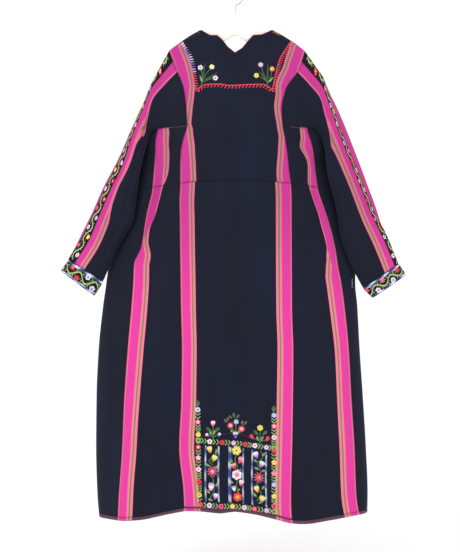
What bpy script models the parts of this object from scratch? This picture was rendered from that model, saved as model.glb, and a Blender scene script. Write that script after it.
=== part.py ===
"""Palestinian thobe dress hanging on a plain coat hanger.

The back of the dress faces -Y, +Z is up and the origin is where a rod meets the inside of the hook.
The body is one closed ring of cloth at each height, the sleeves are tubes that start at the armholes,
and every piece that a maker would cut is a wall of its own, split from those rings at the seams.
Tables are in millimetres. A drop is a distance below the origin.
"""

import math

import bpy
import numpy as np

MM = 0.001
WALL = 1.5          # thickness of the cloth walls
SEAM_GAP = 0.3      # gap between two pieces at a seam
SHOULDER_RADIUS = 14.0
CROWN_BLEND = 150.0  # distance below the shoulder line over which the body reaches its full depth
ROUNDNESS = 2.6     # exponent of the body's section, 2 is an ellipse
ARMPIT_DROP = 389.0
WAIST_DROP = 541.0
HEM_DROP = 1480.0
HEM_BAND = 9.0      # width of the hem binding
HEM_START = 1250.0  # above this the hem's curve has no effect

# The body at each height: x of the side folds, of the side seams and of the centre seams, how far the
# back and the front stand out, and the y of the side folds.
BODY_COLUMNS = ("drop", "fold_l", "side_l", "centre_l", "centre_r", "side_r", "fold_r", "back", "front", "fold_y")
BODY_LEVELS = (
    (100, -252, -236, -205, 218, 240, 256, 12, 12, 0),
    (171, -250, -234, -186, 198, 238, 254, 16, 16, 0),
    (230, -246, -231, -163, 177, 234, 250, 22, 22, 0),
    (287, -240, -227, -143, 141, 228, 243, 29, 28, 0),
    (344, -231, -222, -136, 130, 218, 232, 34, 33, 0),
    (389, -224, -214, -134, 133, 212, 224, 38, 38, 0),
    (405, -229, -216, -139, 136, 214, 229, 39, 40, 2),
    (425, -238, -220, -145, 140, 217, 238, 41, 42, 6),
    (460, -256, -225, -152, 146, 221, 255, 43, 44, 15),
    (505, -275, -229, -153, 151, 227, 268, 45, 46, 23),
    (541, -287, -232, -153, 156, 232, 280, 46, 48, 26),
    (596, -299, -243, -155, 158, 248, 296, 48, 50, 26),
    (645, -310, -252, -154, 158, 262, 308, 49, 53, 26),
    (723, -335, -272, -153, 158, 281, 323, 52, 58, 26),
    (777, -352, -283, -152, 158, 289, 333, 55, 62, 23),
    (830, -366, -285, -151, 158, 299, 342, 58, 66, 19),
    (890, -374, -289, -150, 158, 307, 347, 61, 69, 14),
    (1011, -386, -299, -147, 161, 319, 353, 67, 75, 10),
    (1148, -392, -308, -149, 159, 326, 362, 73, 82, 8),
    (1284, -393, -313, -155, 156, 334, 370, 78, 88, 6),
    (1420, -389, -323, -143, 153, 339, 375, 81, 92, 4),
    (1500, -382, -327, -140, 157, 351, 373, 82, 94, 4),
)

# The top of the shoulders from side to side. Across the open neck it is raised, so that the cloth there
# already stands clear of the hanger.
SHOULDER_LINE = (
    (-250, 262), (-217, 229), (-206, 198), (-195, 181), (-184, 169), (-155, 147), (-126, 128), (-99, 113),
    (-93, 100), (101, 100), (107, 113), (138, 130), (170, 150), (201, 175), (212, 188), (223, 203),
    (234, 223), (256, 262),
)
# The neck opening of the back, a small notch with two turned corners, and of the front, which is rounder.
NECK_BACK = (
    (-99, 113), (-93, 117), (-70, 130), (-50, 130), (-34, 144), (-20, 163), (0, 179), (20, 166), (36, 146),
    (51, 130), (76, 128), (101, 117), (107, 113),
)
NECK_LEFT = -99.0
NECK_RIGHT = 107.0
NECK_FRONT_DEPTH = 75.0
# Places along the shoulder line where the columns of the centre panels start.
CENTRE_COLUMNS = (-184, -155, -126, -99, -93, -70, -50, -34, -20, 0, 20, 36, 51, 76, 101, 107, 138, 170, 201)

# The hem's drop from side to side.
HEM_BACK = (
    (-380, 1486), (-320, 1485), (-250, 1479), (-190, 1466), (-140, 1459), (-90, 1460), (-40, 1465),
    (0, 1461), (60, 1467), (115, 1477), (150, 1484), (200, 1486), (280, 1483), (330, 1475), (370, 1473),
)
HEM_FRONT = ((-380, 1486), (-220, 1478), (-90, 1484), (60, 1476), (220, 1484), (370, 1473))

# Folds of the body: side, then x and drop of both ends, half width and how deep, a ridge being negative.
FOLD_COLUMNS = ("face", "x_top", "drop_top", "x_end", "drop_end", "half_width", "depth")
BODY_FOLDS = (
    ("back", -20, 620, -5, 1500, 60, 12),
    ("back", -150, 1050, -120, 1500, 70, 26),
    ("back", 20, 1150, 30, 1500, 70, 18),
    ("back", -270, 980, -315, 1500, 55, -20),
    ("back", 150, 900, 185, 1500, 60, -22),
    ("back", 262, 1000, 285, 1500, 45, 12),
    ("back", -205, 620, -250, 900, 26, 7),
    ("back", 214, 560, 250, 900, 26, 7),
    ("front", 0, 620, 10, 1500, 70, 16),
    ("front", -150, 760, -190, 1500, 60, -20),
    ("front", 140, 800, 160, 1500, 60, -22),
    ("front", -260, 1000, -290, 1500, 50, 16),
    ("front", 250, 1000, 280, 1500, 45, 16),
)
FOLD_RISE = 1.6       # a fold has its full depth after 1 / 1.6 of its length
FOLD_FADE = 120.0     # a fold dies away over this distance past its end
FOLD_EDGE = 4.0       # folds die away over the outermost quarter of the half width
WAIST_DIP = 24.0      # how far the waist seam runs lower at the sides than in the middle
WAIST_DIP_HALF = 270.0
WAIST_DIP_REACH = 80.0

# The sleeves: top fold and under fold at each station, half depth, y of both folds, and how far the black
# strip's near edge lies round the tube from the top fold. Station 0 is the armhole itself.
SLEEVE_COLUMNS = ("top_x", "top_drop", "under_x", "under_drop", "half_depth", "top_y", "under_y", "strip")
SLEEVE_LEFT = (
    (-234, 260, -241, 418, 27, 0, -3, 12),
    (-260, 322, -254, 458, 31, -2, -14, 16),
    (-291, 390, -264, 505, 33, -4, -24, 21),
    (-330, 480, -272, 555, 33, -6, -24, 26),
    (-370, 556, -278, 608, 32, -6, -22, 28),
    (-404, 632, -286, 654, 28, -6, -20, 30),
    (-438, 700, -328, 727, 22, -4, -18, 32),
    (-471, 760, -370, 822, 16, -2, -14, 32),
)
SLEEVE_RIGHT = (
    (247, 243, 241, 416, 27, 0, -3, 15),
    (274, 305, 253, 456, 31, -2, -14, 24),
    (305, 373, 258, 516, 33, -4, -24, 31),
    (336, 452, 270, 566, 34, -6, -24, 36),
    (370, 542, 284, 622, 32, -6, -22, 38),
    (401, 627, 294, 690, 28, -6, -20, 38),
    (432, 700, 316, 757, 22, -4, -18, 38),
    (462, 773, 359, 841, 16, -2, -14, 38),
)
# The mouth of each cuff, in the sleeve tables' columns.
CUFF_LEFT = (-491, 792, -395, 863, 17, -2, -12, 32)
CUFF_RIGHT = (482, 804, 387, 869, 17, -2, -12, 38)
STRIP_WIDTH = 36.0
STRIP_CELLS = 2       # cells of the strip on each side of its middle
SLEEVE_DENT = 10.0    # depth of the crease that runs from the shoulder to the armpit
DENT_STATION = 0.55   # station of that crease
DENT_REACH = 0.22     # stations over which it dies away
SECTION_POINTS = 241  # points round half a tube, from which its columns are picked
SLEEVE_ROWS = 13
FIRST_ROW = 0.3       # station of the first row after the armhole
SECOND_ROW = 0.8
ARMPIT_LIFT = 12.0    # how far that row is raised at the armpit, so that sleeve and side part there
LIFT_CELLS = 3.5      # how many cells round the armpit the lift reaches
CUFF_ROWS = 2

UPPER_ROWS = 9
EDGE_STEPS = 12       # steps in finding where a column meets the panel's upper edge
ROW_CROWDING = 1.7    # how much the upper rows crowd towards the shoulder line
BODICE_ROWS = 6
MEETING_START = 0.75  # share of the half width from which the heights of back and front draw together
SKIRT_ROWS = 15
SIDE_CELLS = 3        # cells between a centre seam and a side seam
FOLD_CELLS = 4        # cells between a side seam and the side fold

BODICE_MIDDLE = -300.0  # height of a point inside the bodice, from which its walls face away

ARM_HALF = 5.0        # half thickness of the hanger's arms
ARM_REST = 2.45       # how far the arms' top lies under the outside of the cloth
ARM_TIP_LEFT = -176.0
ARM_TIP_RIGHT = 190.0
ARM_DEPTH_MIDDLE = 62.0
ARM_DEPTH_TIP = 20.0
ARM_TAPER = 1.5       # exponent of the arms' taper from the middle to the tips
HANGER_PEAK = 68.0    # drop of the hanger's highest point
PEAK_HALF = 8.0       # half width of its flat top
RISE_HALF = 86.0      # half width of the part that rises out of the neck
RISE_SHAPE = 0.85     # exponent of its slope, 1 is straight
ARM_SIDES = 10
WIRE_RADIUS = 2.0
HOOK_RADIUS = 20.0    # inside radius of the hook
HOOK_GAP = 0.3
HOOK_STEPS = 22
HOOK_START = -62.0    # where the arc leaves the shank, in degrees from +X
HOOK_END = 185.0
# x and height of the wire from the peak up to the arc.
SHANK = ((0, -HANGER_PEAK + HOOK_GAP), (0, -58), (0, -52), (1.5, -46.5), (5, -42))

# Base colour, roughness and metallic value.
FINISHES = {
    "navy_cotton": ((0.018, 0.023, 0.048), 0.85, 0.0),
    "black_cotton": ((0.008, 0.009, 0.014), 0.85, 0.0),
    "maroon_binding": ((0.11, 0.05, 0.08), 0.75, 0.0),
    "lacquered_wood": ((0.82, 0.80, 0.76), 0.35, 0.0),
    "steel": ((0.62, 0.62, 0.63), 0.25, 1.0),
}


def smooth_curve(knots, values, at):
    """Smooth curve through the knots that never swings past them."""
    knots = np.asarray(knots, float)
    values = np.asarray(values, float)
    at = np.clip(at, knots[0], knots[-1])
    steps = np.diff(knots)
    rises = (np.diff(values, axis=0).T / steps).T
    before, after = rises[:-1], rises[1:]
    same_way = before * after > 0
    middle = np.where(same_way, 2 * before * after / np.where(same_way, before + after, 1.0), 0.0)
    slopes = np.concatenate([rises[:1], middle, rises[-1:]])
    cell = np.clip(np.searchsorted(knots, at, side="right") - 1, 0, len(steps) - 1)
    width = steps[cell]
    t = (at - knots[cell]) / width
    if values.ndim > 1:
        t = t[..., None]
        width = width[..., None]
    start = values[cell] * (1 + 2 * t) * (1 - t) ** 2 + slopes[cell] * width * t * (1 - t) ** 2
    end = values[cell + 1] * t * t * (3 - 2 * t) + slopes[cell + 1] * width * t * t * (t - 1)
    return start + end


def level(column, drop):
    """One column of the body's table at any drop."""
    index = BODY_COLUMNS.index(column)
    return smooth_curve([row[0] for row in BODY_LEVELS], [row[index] for row in BODY_LEVELS], drop)


def line(table, x):
    """Drop of a line given as pairs of x and drop."""
    return np.interp(x, [row[0] for row in table], [row[1] for row in table])


def soft_step(t):
    """0 to 1 with level ends."""
    t = np.clip(t, 0, 1)
    return t * t * (3 - 2 * t)


def fold_offset(face, x, drop):
    """How far the folds of one face move it inwards."""
    total = np.zeros_like(x)
    for row in BODY_FOLDS:
        fold = dict(zip(FOLD_COLUMNS, row))
        if fold["face"] != face:
            continue
        along = (drop - fold["drop_top"]) / (fold["drop_end"] - fold["drop_top"])
        middle = fold["x_top"] + (fold["x_end"] - fold["x_top"]) * along
        fade = soft_step(along * FOLD_RISE) * soft_step((fold["drop_end"] + FOLD_FADE - drop) / FOLD_FADE)
        total += fold["depth"] * fade * np.exp(-((x - middle) / fold["half_width"]) ** 2)
    return total


def face_depth(face, x, drop):
    """y of the back or the front at any x and drop."""
    left, right = level("fold_l", drop), level("fold_r", drop)
    middle = (left + right) / 2
    across = np.clip((x - middle) / ((right - left) / 2), -1, 1)
    bulge = np.sqrt(np.maximum(1 - np.abs(across) ** ROUNDNESS, 0))
    fold_y = level("fold_y", drop)
    sign = -1 if face == "back" else 1
    full = level(face, drop) - sign * fold_y
    body = (full - fold_offset(face, x, drop) * soft_step((1 - np.abs(across)) * FOLD_EDGE)) * bulge
    below = np.maximum(drop - line(SHOULDER_LINE, x), 0)
    round_top = SHOULDER_RADIUS * np.sqrt(1 - (1 - np.minimum(below / SHOULDER_RADIUS, 1)) ** 2)
    blend = soft_step(below / CROWN_BLEND)
    return fold_y * blend + sign * (round_top + (body - round_top) * blend)


def true_drop(face, x, drop):
    """Drop with the dip of the waist seam and the curve of the hem."""
    hem = line(HEM_BACK if face == "back" else HEM_FRONT, x)
    outwards = np.clip(np.abs(x) / WAIST_DIP_HALF, 0, 1)
    dip = WAIST_DIP * outwards ** 2 * np.exp(-((drop - WAIST_DROP) / WAIST_DIP_REACH) ** 2)
    share = np.clip((drop - HEM_START) / (HEM_DROP - HEM_START), 0, None)
    return drop + dip + share * (hem - HEM_DROP)


def face_point(face, x, drop):
    """Point of the back or the front, from a position on the cloth."""
    placed = true_drop(face, x, drop)
    return np.stack([x, face_depth(face, x, placed), -placed], axis=-1)


def centre_fractions():
    """Share of the way between the centre seams for each column of the centre panels."""
    columns = np.array(CENTRE_COLUMNS, float)
    top = neck_drop("back", columns)
    left, right = level("centre_l", top), level("centre_r", top)
    shares = (columns - left) / (right - left)
    shares[0], shares[-1] = 0, 1
    return shares


def ring_columns(drop):
    """x of every column of a face, from the left fold to the right fold."""
    key = {name: level(name, drop) for name in BODY_COLUMNS[1:7]}
    turn = 1 - np.cos(np.linspace(0, math.pi / 2, FOLD_CELLS + 1))
    across = np.linspace(0, 1, SIDE_CELLS + 1)
    left_fold = key["fold_l"][..., None] + (key["side_l"] - key["fold_l"])[..., None] * turn
    left_side = key["side_l"][..., None] + (key["centre_l"] - key["side_l"])[..., None] * across
    centre = key["centre_l"][..., None] + (key["centre_r"] - key["centre_l"])[..., None] * centre_fractions()
    right_side = key["centre_r"][..., None] + (key["side_r"] - key["centre_r"])[..., None] * across
    right_fold = key["fold_r"][..., None] + (key["side_r"] - key["fold_r"])[..., None] * turn[::-1]
    parts = [left_fold, left_side[..., 1:], centre[..., 1:], right_side[..., 1:], right_fold[..., 1:]]
    return np.concatenate(parts, axis=-1)


def seam_indices():
    """Column index of each seam on a face."""
    side_l = FOLD_CELLS
    centre_l = side_l + SIDE_CELLS
    centre_r = centre_l + len(CENTRE_COLUMNS) - 1
    side_r = centre_r + SIDE_CELLS
    return side_l, centre_l, centre_r, side_r, side_r + FOLD_CELLS


def lower_drops():
    """Drops of the rows from the armpit to the hem, with the rows of the waist seam and the binding."""
    bodice = np.linspace(ARMPIT_DROP, WAIST_DROP, BODICE_ROWS + 1)
    skirt = np.linspace(WAIST_DROP, HEM_DROP - HEM_BAND, SKIRT_ROWS + 1)
    return np.concatenate([bodice, skirt[1:], [HEM_DROP]])


def body_ring():
    """Closed rings of the body below the armpit: the back left to right, then the front right to left."""
    drops = lower_drops()
    x = ring_columns(drops)
    drop = np.broadcast_to(drops[:, None], x.shape)
    back = face_point("back", x, drop)
    front = face_point("front", x, drop)
    outwards = np.abs(x - x.mean()) / np.abs(x - x.mean()).max()
    share = soft_step((outwards - MEETING_START) / (1 - MEETING_START))[..., None]
    middle_z = (back[..., 2:] + front[..., 2:]) / 2
    back[..., 2:] += (middle_z - back[..., 2:]) * share
    front[..., 2:] += (middle_z - front[..., 2:]) * share
    folds = [0, -1]
    back[:, folds] = (back[:, folds] + front[:, folds]) / 2
    return np.concatenate([back, front[:, -2:0:-1]], axis=1)


def neck_drop(face, x):
    """Drop of the panel's upper edge: the shoulder line, or the neck opening where x is inside it."""
    top = line(SHOULDER_LINE, x)
    inside = (x > NECK_LEFT) & (x < NECK_RIGHT)
    if face == "back":
        return np.where(inside, line(NECK_BACK, x), top)
    middle = (NECK_LEFT + NECK_RIGHT) / 2
    across = np.clip(np.abs(x - middle) / ((NECK_RIGHT - NECK_LEFT) / 2), 0, 1)
    scoop = line(SHOULDER_LINE, NECK_LEFT) + NECK_FRONT_DEPTH * (1 - across ** 2)
    return np.where(inside, scoop, top)


def centre_of_ring(grid, face):
    """The centre panel's columns of a grid laid out as the body's rings, left to right."""
    _, centre_l, centre_r, _, _ = seam_indices()
    count = grid.shape[1]
    if face == "back":
        return grid[:, centre_l:centre_r + 1]
    return grid[:, count - centre_r:count - centre_l + 1][:, ::-1]


def upper_panel(face, ring):
    """Rows of a centre panel from its upper edge down to the body's first ring."""
    fractions = centre_fractions()
    top = line(SHOULDER_LINE, np.array(CENTRE_COLUMNS, float))
    for _ in range(EDGE_STEPS):
        x = level("centre_l", top) + (level("centre_r", top) - level("centre_l", top)) * fractions
        top = neck_drop(face, x)
    share = np.linspace(0, 1, UPPER_ROWS + 1)[:, None] ** ROW_CROWDING
    drop = top + (ARMPIT_DROP - top) * share
    x = level("centre_l", drop) + (level("centre_r", drop) - level("centre_l", drop)) * fractions
    panel = np.stack([x, face_depth(face, x, drop), -drop], axis=-1)
    panel[-1] = centre_of_ring(ring, face)[0]
    return panel


def normals(points, closed):
    """Normals of a grid, from the steps along its rows and columns."""
    if closed:
        wrapped = np.concatenate([points[:, -1:], points, points[:, :1]], axis=1)
        across = (wrapped[:, 2:] - wrapped[:, :-2])
    else:
        across = np.gradient(points, axis=1)
    down = np.gradient(points, axis=0)
    normal = np.cross(across, down)
    return normal / np.linalg.norm(normal, axis=-1, keepdims=True)


def pull_in(points, axis, end, distance):
    """Move one edge of a grid towards its neighbours, along the cloth."""
    edge = [slice(None)] * 3
    inner = [slice(None)] * 3
    edge[axis] = 0 if end == "first" else -1
    inner[axis] = 1 if end == "first" else -2
    step = points[tuple(inner)] - points[tuple(edge)]
    length = np.linalg.norm(step, axis=-1, keepdims=True)
    points[tuple(edge)] += step * distance / length


def edge_quads(vertices, first, second, under):
    """Faces along a wall's edge, each starting at its higher corner, so that both sides of a seam match."""
    height = vertices @ np.array([0.13, 0.0, 1.0])
    quads = np.stack([first, first + under, second + under, second], axis=-1)
    turned = np.roll(quads, -1, axis=-1)
    return np.where((height[first] > height[second])[:, None], quads, turned)


def wall_mesh(points, normal, closed, seams):
    """Vertices and faces of a cloth wall: its outer grid, the same grid moved in, and its edges."""
    outer = points.copy()
    for axis, end in seams:
        pull_in(outer, axis, end, SEAM_GAP / 2)
    inner = outer - normal * WALL
    rows, columns = outer.shape[:2]
    vertices = np.concatenate([outer.reshape(-1, 3), inner.reshape(-1, 3)])
    index = np.arange(rows * columns).reshape(rows, columns)
    if closed:
        index = np.concatenate([index, index[:, :1]], axis=1)
    quads = np.stack([index[:-1, :-1], index[1:, :-1], index[1:, 1:], index[:-1, 1:]], axis=-1).reshape(-1, 4)
    under = rows * columns
    edges = [(index[0, 1:], index[0, :-1]), (index[-1, :-1], index[-1, 1:])]
    if not closed:
        edges += [(index[:-1, 0], index[1:, 0]), (index[1:, -1], index[:-1, -1])]
    sides = np.concatenate([edge_quads(vertices, a, b, under) for a, b in edges])
    faces = np.concatenate([quads[:, ::-1], quads + under, sides[:, ::-1]])
    triangles = np.concatenate([faces[:, [0, 1, 2]], faces[:, [0, 2, 3]]])
    corners = vertices[triangles]
    volume = np.einsum("ij,ij->i", corners[:, 0], np.cross(corners[:, 1], corners[:, 2])).sum()
    if volume < 0:
        triangles = triangles[:, ::-1]
    return vertices, triangles


def material(name):
    """Principled material of one of the finishes."""
    made = bpy.data.materials.get(name)
    if made is None:
        made = bpy.data.materials.new(name)
        made.use_nodes = True
        colour, roughness, metallic = FINISHES[name]
        shader = made.node_tree.nodes["Principled BSDF"]
        shader.inputs["Base Color"].default_value = (*colour, 1.0)
        shader.inputs["Roughness"].default_value = roughness
        shader.inputs["Metallic"].default_value = metallic
    return made


def add_object(name, vertices, faces, finish):
    """Put a mesh into the scene, millimetres to metres."""
    mesh = bpy.data.meshes.new(name)
    mesh.from_pydata((np.asarray(vertices) * MM).tolist(), [], np.asarray(faces).tolist())
    mesh.shade_smooth()
    mesh.materials.append(material(finish))
    placed = bpy.data.objects.new(name, mesh)
    bpy.context.scene.collection.objects.link(placed)
    return placed


def add_wall(name, points, normal, finish, seams=(), closed=False):
    """One piece of cloth."""
    vertices, faces = wall_mesh(points, normal, closed, seams)
    return add_object(name, vertices, faces, finish)


def oriented(points, closed, middle):
    """Normals of a grid that point away from a line of middles, one for each row."""
    normal = normals(points, closed)
    if ((points - middle) * normal).sum() < 0:
        normal = -normal
    return normal


def build_body(ring, uppers):
    """Bodice, skirt, side panels and the hem's binding. Returns the normals that the sleeves share."""
    side_l, centre_l, centre_r, side_r, fold_r = seam_indices()
    count = ring.shape[1]
    full = oriented(ring, True, ring.mean(axis=1, keepdims=True))
    waist, band = BODICE_ROWS, BODICE_ROWS + SKIRT_ROWS
    front = {column: count - column for column in (side_l, centre_l, centre_r, side_r)}
    every_edge = ((0, "first"), (0, "last"), (1, "first"), (1, "last"))
    panel_normals = {}
    for face in ("back", "front"):
        upper = uppers[face]
        grid = np.concatenate([upper[:-1], centre_of_ring(ring[:waist + 1], face)])
        sheet = oriented(grid, False, np.array([0, 0, BODICE_MIDDLE]))
        sheet[len(upper) - 1:] = centre_of_ring(full[:waist + 1], face)
        sheet[0] = crown_normals(sheet[0], grid[0, :, 0])
        add_wall(f"{face}_bodice", grid, sheet, "navy_cotton", every_edge)
        panel_normals[face] = sheet[:len(upper)]
    blocks = (
        ("back_side_left", 0, waist, side_l, centre_l),
        ("back_side_right", 0, waist, centre_r, side_r),
        ("front_side_right", 0, waist, front[side_r], front[centre_r]),
        ("front_side_left", 0, waist, front[centre_l], front[side_l]),
        ("underarm_right", 0, waist, side_r, front[side_r]),
        ("underarm_left", 0, waist, front[side_l], count + side_l),
        ("back_skirt", waist, band, centre_l, centre_r),
        ("front_skirt", waist, band, front[centre_r], front[centre_l]),
        ("back_gore_left", waist, band, side_l, centre_l),
        ("back_gore_right", waist, band, centre_r, side_r),
        ("front_gore_right", waist, band, front[side_r], front[centre_r]),
        ("front_gore_left", waist, band, front[centre_l], front[side_l]),
        ("side_gore_right", waist, band, side_r, front[side_r]),
        ("side_gore_left", waist, band, front[side_l], count + side_l),
    )
    for name, first, last, start, stop in blocks:
        columns = np.arange(start, stop + 1) % count
        rows = slice(first, last + 1)
        add_wall(name, ring[rows][:, columns], full[rows][:, columns], "navy_cotton", every_edge)
    hem = slice(band, band + 2)
    add_wall("hem_binding", ring[hem], full[hem], "maroon_binding", ((0, "first"),), closed=True)
    return full, panel_normals


def crown_normals(row, x):
    """Normals along a panel's upper edge, turned out of y where the cloth folds over the shoulder."""
    turned = row.copy()
    on_shoulder = (x <= NECK_LEFT + 1) | (x >= NECK_RIGHT - 1)
    turned[:, 1] = np.where(on_shoulder, 0, turned[:, 1])
    return turned / np.linalg.norm(turned, axis=-1, keepdims=True)


def armhole(side, ring, uppers):
    """Closed loop of the armhole: shoulder, back selvage, underarm seam, side fold, and the front again."""
    side_l, centre_l, centre_r, side_r, fold_r = seam_indices()
    count = ring.shape[1]
    edge = 0 if side == "left" else -1
    back = uppers["back"][:, edge]
    front = uppers["front"][::-1, edge]
    if side == "left":
        back_seam = ring[0, :centre_l][::-1]
        front_seam = ring[0, count - centre_l + 1:][::-1]
    else:
        back_seam = ring[0, centre_r + 1:fold_r + 1]
        front_seam = ring[0, fold_r + 1:count - centre_r]
    return np.concatenate([back, back_seam, front_seam, front[:-1]])


def tube_section(row, strip_edge, counts):
    """Points round a sleeve at one station, starting at the middle of its strip and going to the back."""
    at = dict(zip(SLEEVE_COLUMNS, row))
    angle = np.linspace(0, math.pi, SECTION_POINTS)
    share = (1 - np.cos(angle)) / 2
    x = at["top_x"] + (at["under_x"] - at["top_x"]) * share
    drop = at["top_drop"] + (at["under_drop"] - at["top_drop"]) * share
    y = at["top_y"] + (at["under_y"] - at["top_y"]) * share
    depth = at["half_depth"] * np.sin(angle)
    near = np.stack([x, y - depth, -drop], axis=-1)
    far = np.stack([x, y + depth, -drop], axis=-1)
    loop = np.concatenate([near, far[::-1][1:]])
    lengths = np.concatenate([[0], np.cumsum(np.linalg.norm(np.diff(loop, axis=0), axis=-1))])
    half, total = lengths[len(near) - 1], lengths[-1]
    near_count, far_count = counts
    inner = strip_edge - STRIP_WIDTH
    strip = np.linspace(strip_edge - STRIP_WIDTH / 2, strip_edge, STRIP_CELLS + 1)
    back = np.linspace(strip_edge, half, near_count - STRIP_CELLS + 1)
    front = np.linspace(half, total + inner, far_count - STRIP_CELLS + 1)
    rest = np.linspace(inner, strip_edge - STRIP_WIDTH / 2, STRIP_CELLS + 1) + total
    stops = np.concatenate([strip, back[1:], front[1:], rest[1:-1]]) % total
    return np.stack([np.interp(stops, lengths, loop[:, axis]) for axis in range(3)], axis=-1)


def sleeve_grid(side, ring, uppers):
    """Rows of the sleeve from the armhole to the cuff's mouth, and the row where the cuff starts."""
    table = SLEEVE_LEFT if side == "left" else SLEEVE_RIGHT
    mouth = CUFF_LEFT if side == "left" else CUFF_RIGHT
    start = armhole(side, ring, uppers)
    half_count = UPPER_ROWS + SIDE_CELLS + FOLD_CELLS
    counts = (half_count, half_count)
    sections = [start] + [tube_section(row, row[-1], counts) for row in table]
    stations = np.arange(len(sections))
    rows = np.concatenate([[0, FIRST_ROW], np.linspace(SECOND_ROW, len(sections) - 1, SLEEVE_ROWS - 1)])
    grid = smooth_curve(stations, np.stack(sections).reshape(len(sections), -1), rows)
    grid = grid.reshape(len(rows), -1, 3)
    near_share = np.sin(np.linspace(0, math.pi, half_count + 1))
    dent = SLEEVE_DENT * np.exp(-((rows - DENT_STATION) / DENT_REACH) ** 2)
    grid[:, :half_count + 1, 1] += dent[:, None] * near_share
    cells = np.arange(grid.shape[1]) - half_count
    grid[1, :, 2] += ARMPIT_LIFT * np.exp(-(cells / LIFT_CELLS) ** 2)
    sleeve_end = grid[-1]
    mouth_section = tube_section(mouth, mouth[-1], counts)
    shares = np.linspace(0, 1, CUFF_ROWS + 1)[1:, None, None]
    cuff = sleeve_end + (mouth_section - sleeve_end) * shares
    return np.concatenate([grid, cuff]), SLEEVE_ROWS


def build_sleeve(side, ring, uppers, ring_normals, panel_normals):
    """Sleeve, its black strip and its cuff."""
    grid, cuff_row = sleeve_grid(side, ring, uppers)
    normal = oriented(grid, True, grid.mean(axis=1, keepdims=True))
    normal[0] = armhole(side, ring_normals, panel_normals)
    count = grid.shape[1]
    strip = np.arange(-STRIP_CELLS, STRIP_CELLS + 1) % count
    rest = np.arange(STRIP_CELLS, count - STRIP_CELLS + 1)
    every_edge = ((0, "first"), (0, "last"), (1, "first"), (1, "last"))
    rows = slice(0, cuff_row + 1)
    add_wall(f"sleeve_{side}", grid[rows][:, rest], normal[rows][:, rest], "navy_cotton", every_edge)
    add_wall(f"sleeve_strip_{side}", grid[rows][:, strip], normal[rows][:, strip], "black_cotton", every_edge)
    mouth = slice(cuff_row, None)
    add_wall(f"cuff_{side}", grid[mouth], normal[mouth], "black_cotton", ((0, "first"),), closed=True)


def arm_top(x):
    """Drop of the hanger's upper edge: under the shoulder line, and rising to its peak at the neck."""
    outside = np.where(x < 0, np.minimum(x, NECK_LEFT), np.maximum(x, NECK_RIGHT))
    slope = (line(SHOULDER_LINE, outside + 1) - line(SHOULDER_LINE, outside - 1)) / 2
    under_cloth = line(SHOULDER_LINE, outside) + ARM_REST * np.sqrt(1 + slope ** 2)
    share = np.clip((np.abs(x) - PEAK_HALF) / (RISE_HALF - PEAK_HALF), 0, 1)
    return HANGER_PEAK + (under_cloth - HANGER_PEAK) * share ** RISE_SHAPE


def build_hanger_arms():
    """Contoured arms: rounded sections along x, deep in the middle and slim at the tips."""
    places = {*CENTRE_COLUMNS, *(row[0] for row in SHOULDER_LINE), -RISE_HALF, -PEAK_HALF, PEAK_HALF, RISE_HALF}
    inside = [place for place in places if ARM_TIP_LEFT < place < ARM_TIP_RIGHT]
    x = np.array([ARM_TIP_LEFT, *sorted(inside), ARM_TIP_RIGHT])
    reach = np.where(x < 0, ARM_TIP_LEFT, ARM_TIP_RIGHT)
    top = arm_top(x)
    depth = ARM_DEPTH_TIP + (ARM_DEPTH_MIDDLE - ARM_DEPTH_TIP) * (1 - (x / reach) ** 2) ** ARM_TAPER
    angle = np.linspace(0, 2 * math.pi, ARM_SIDES, endpoint=False)
    centre = np.where(np.cos(angle) > 0, 1.0, -1.0)
    flat = np.maximum(depth / 2 - ARM_HALF, 0)
    drop = (top + depth / 2)[:, None] - (flat[:, None] * centre + ARM_HALF * np.cos(angle))
    y = np.broadcast_to(ARM_HALF * np.sin(angle), drop.shape)
    rings = np.stack([np.broadcast_to(x[:, None], drop.shape), y, -drop], axis=-1)
    vertices = rings.reshape(-1, 3)
    index = np.arange(len(vertices)).reshape(len(x), ARM_SIDES)
    wrap = np.concatenate([index, index[:, :1]], axis=1)
    quads = np.stack([wrap[:-1, :-1], wrap[1:, :-1], wrap[1:, 1:], wrap[:-1, 1:]], axis=-1).reshape(-1, 4)
    faces = quads.tolist() + [index[0].tolist(), index[-1][::-1].tolist()]
    mesh = bpy.data.meshes.new("hanger_arms")
    mesh.from_pydata((vertices * MM).tolist(), [], faces)
    mesh.shade_smooth()
    mesh.materials.append(material("lacquered_wood"))
    bpy.context.scene.collection.objects.link(bpy.data.objects.new("hanger_arms", mesh))


def build_hanger_hook():
    """Steel wire: a shank out of the peak and an arc whose inside top is the origin."""
    arc_radius = HOOK_RADIUS + WIRE_RADIUS
    arc = np.radians(np.linspace(HOOK_START, HOOK_END, HOOK_STEPS))
    hook = np.stack([arc_radius * np.cos(arc), arc_radius * np.sin(arc) - HOOK_RADIUS], axis=-1)
    path = np.concatenate([SHANK, hook])
    curve = bpy.data.curves.new("hanger_hook", "CURVE")
    curve.dimensions = "3D"
    curve.bevel_depth = WIRE_RADIUS * MM
    curve.bevel_resolution = 2
    curve.use_fill_caps = True
    spline = curve.splines.new("POLY")
    spline.points.add(len(path) - 1)
    for point, (x, z) in zip(spline.points, path):
        point.co = (x * MM, 0, z * MM, 1)
    curve.materials.append(material("steel"))
    bpy.context.scene.collection.objects.link(bpy.data.objects.new("hanger_hook", curve))


def main():
    for old in list(bpy.data.objects):
        bpy.data.objects.remove(old)
    ring = body_ring()
    uppers = {face: upper_panel(face, ring) for face in ("back", "front")}
    ring_normals, panel_normals = build_body(ring, uppers)
    for side in ("left", "right"):
        build_sleeve(side, ring, uppers, ring_normals, panel_normals)
    build_hanger_arms()
    build_hanger_hook()


main()
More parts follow.
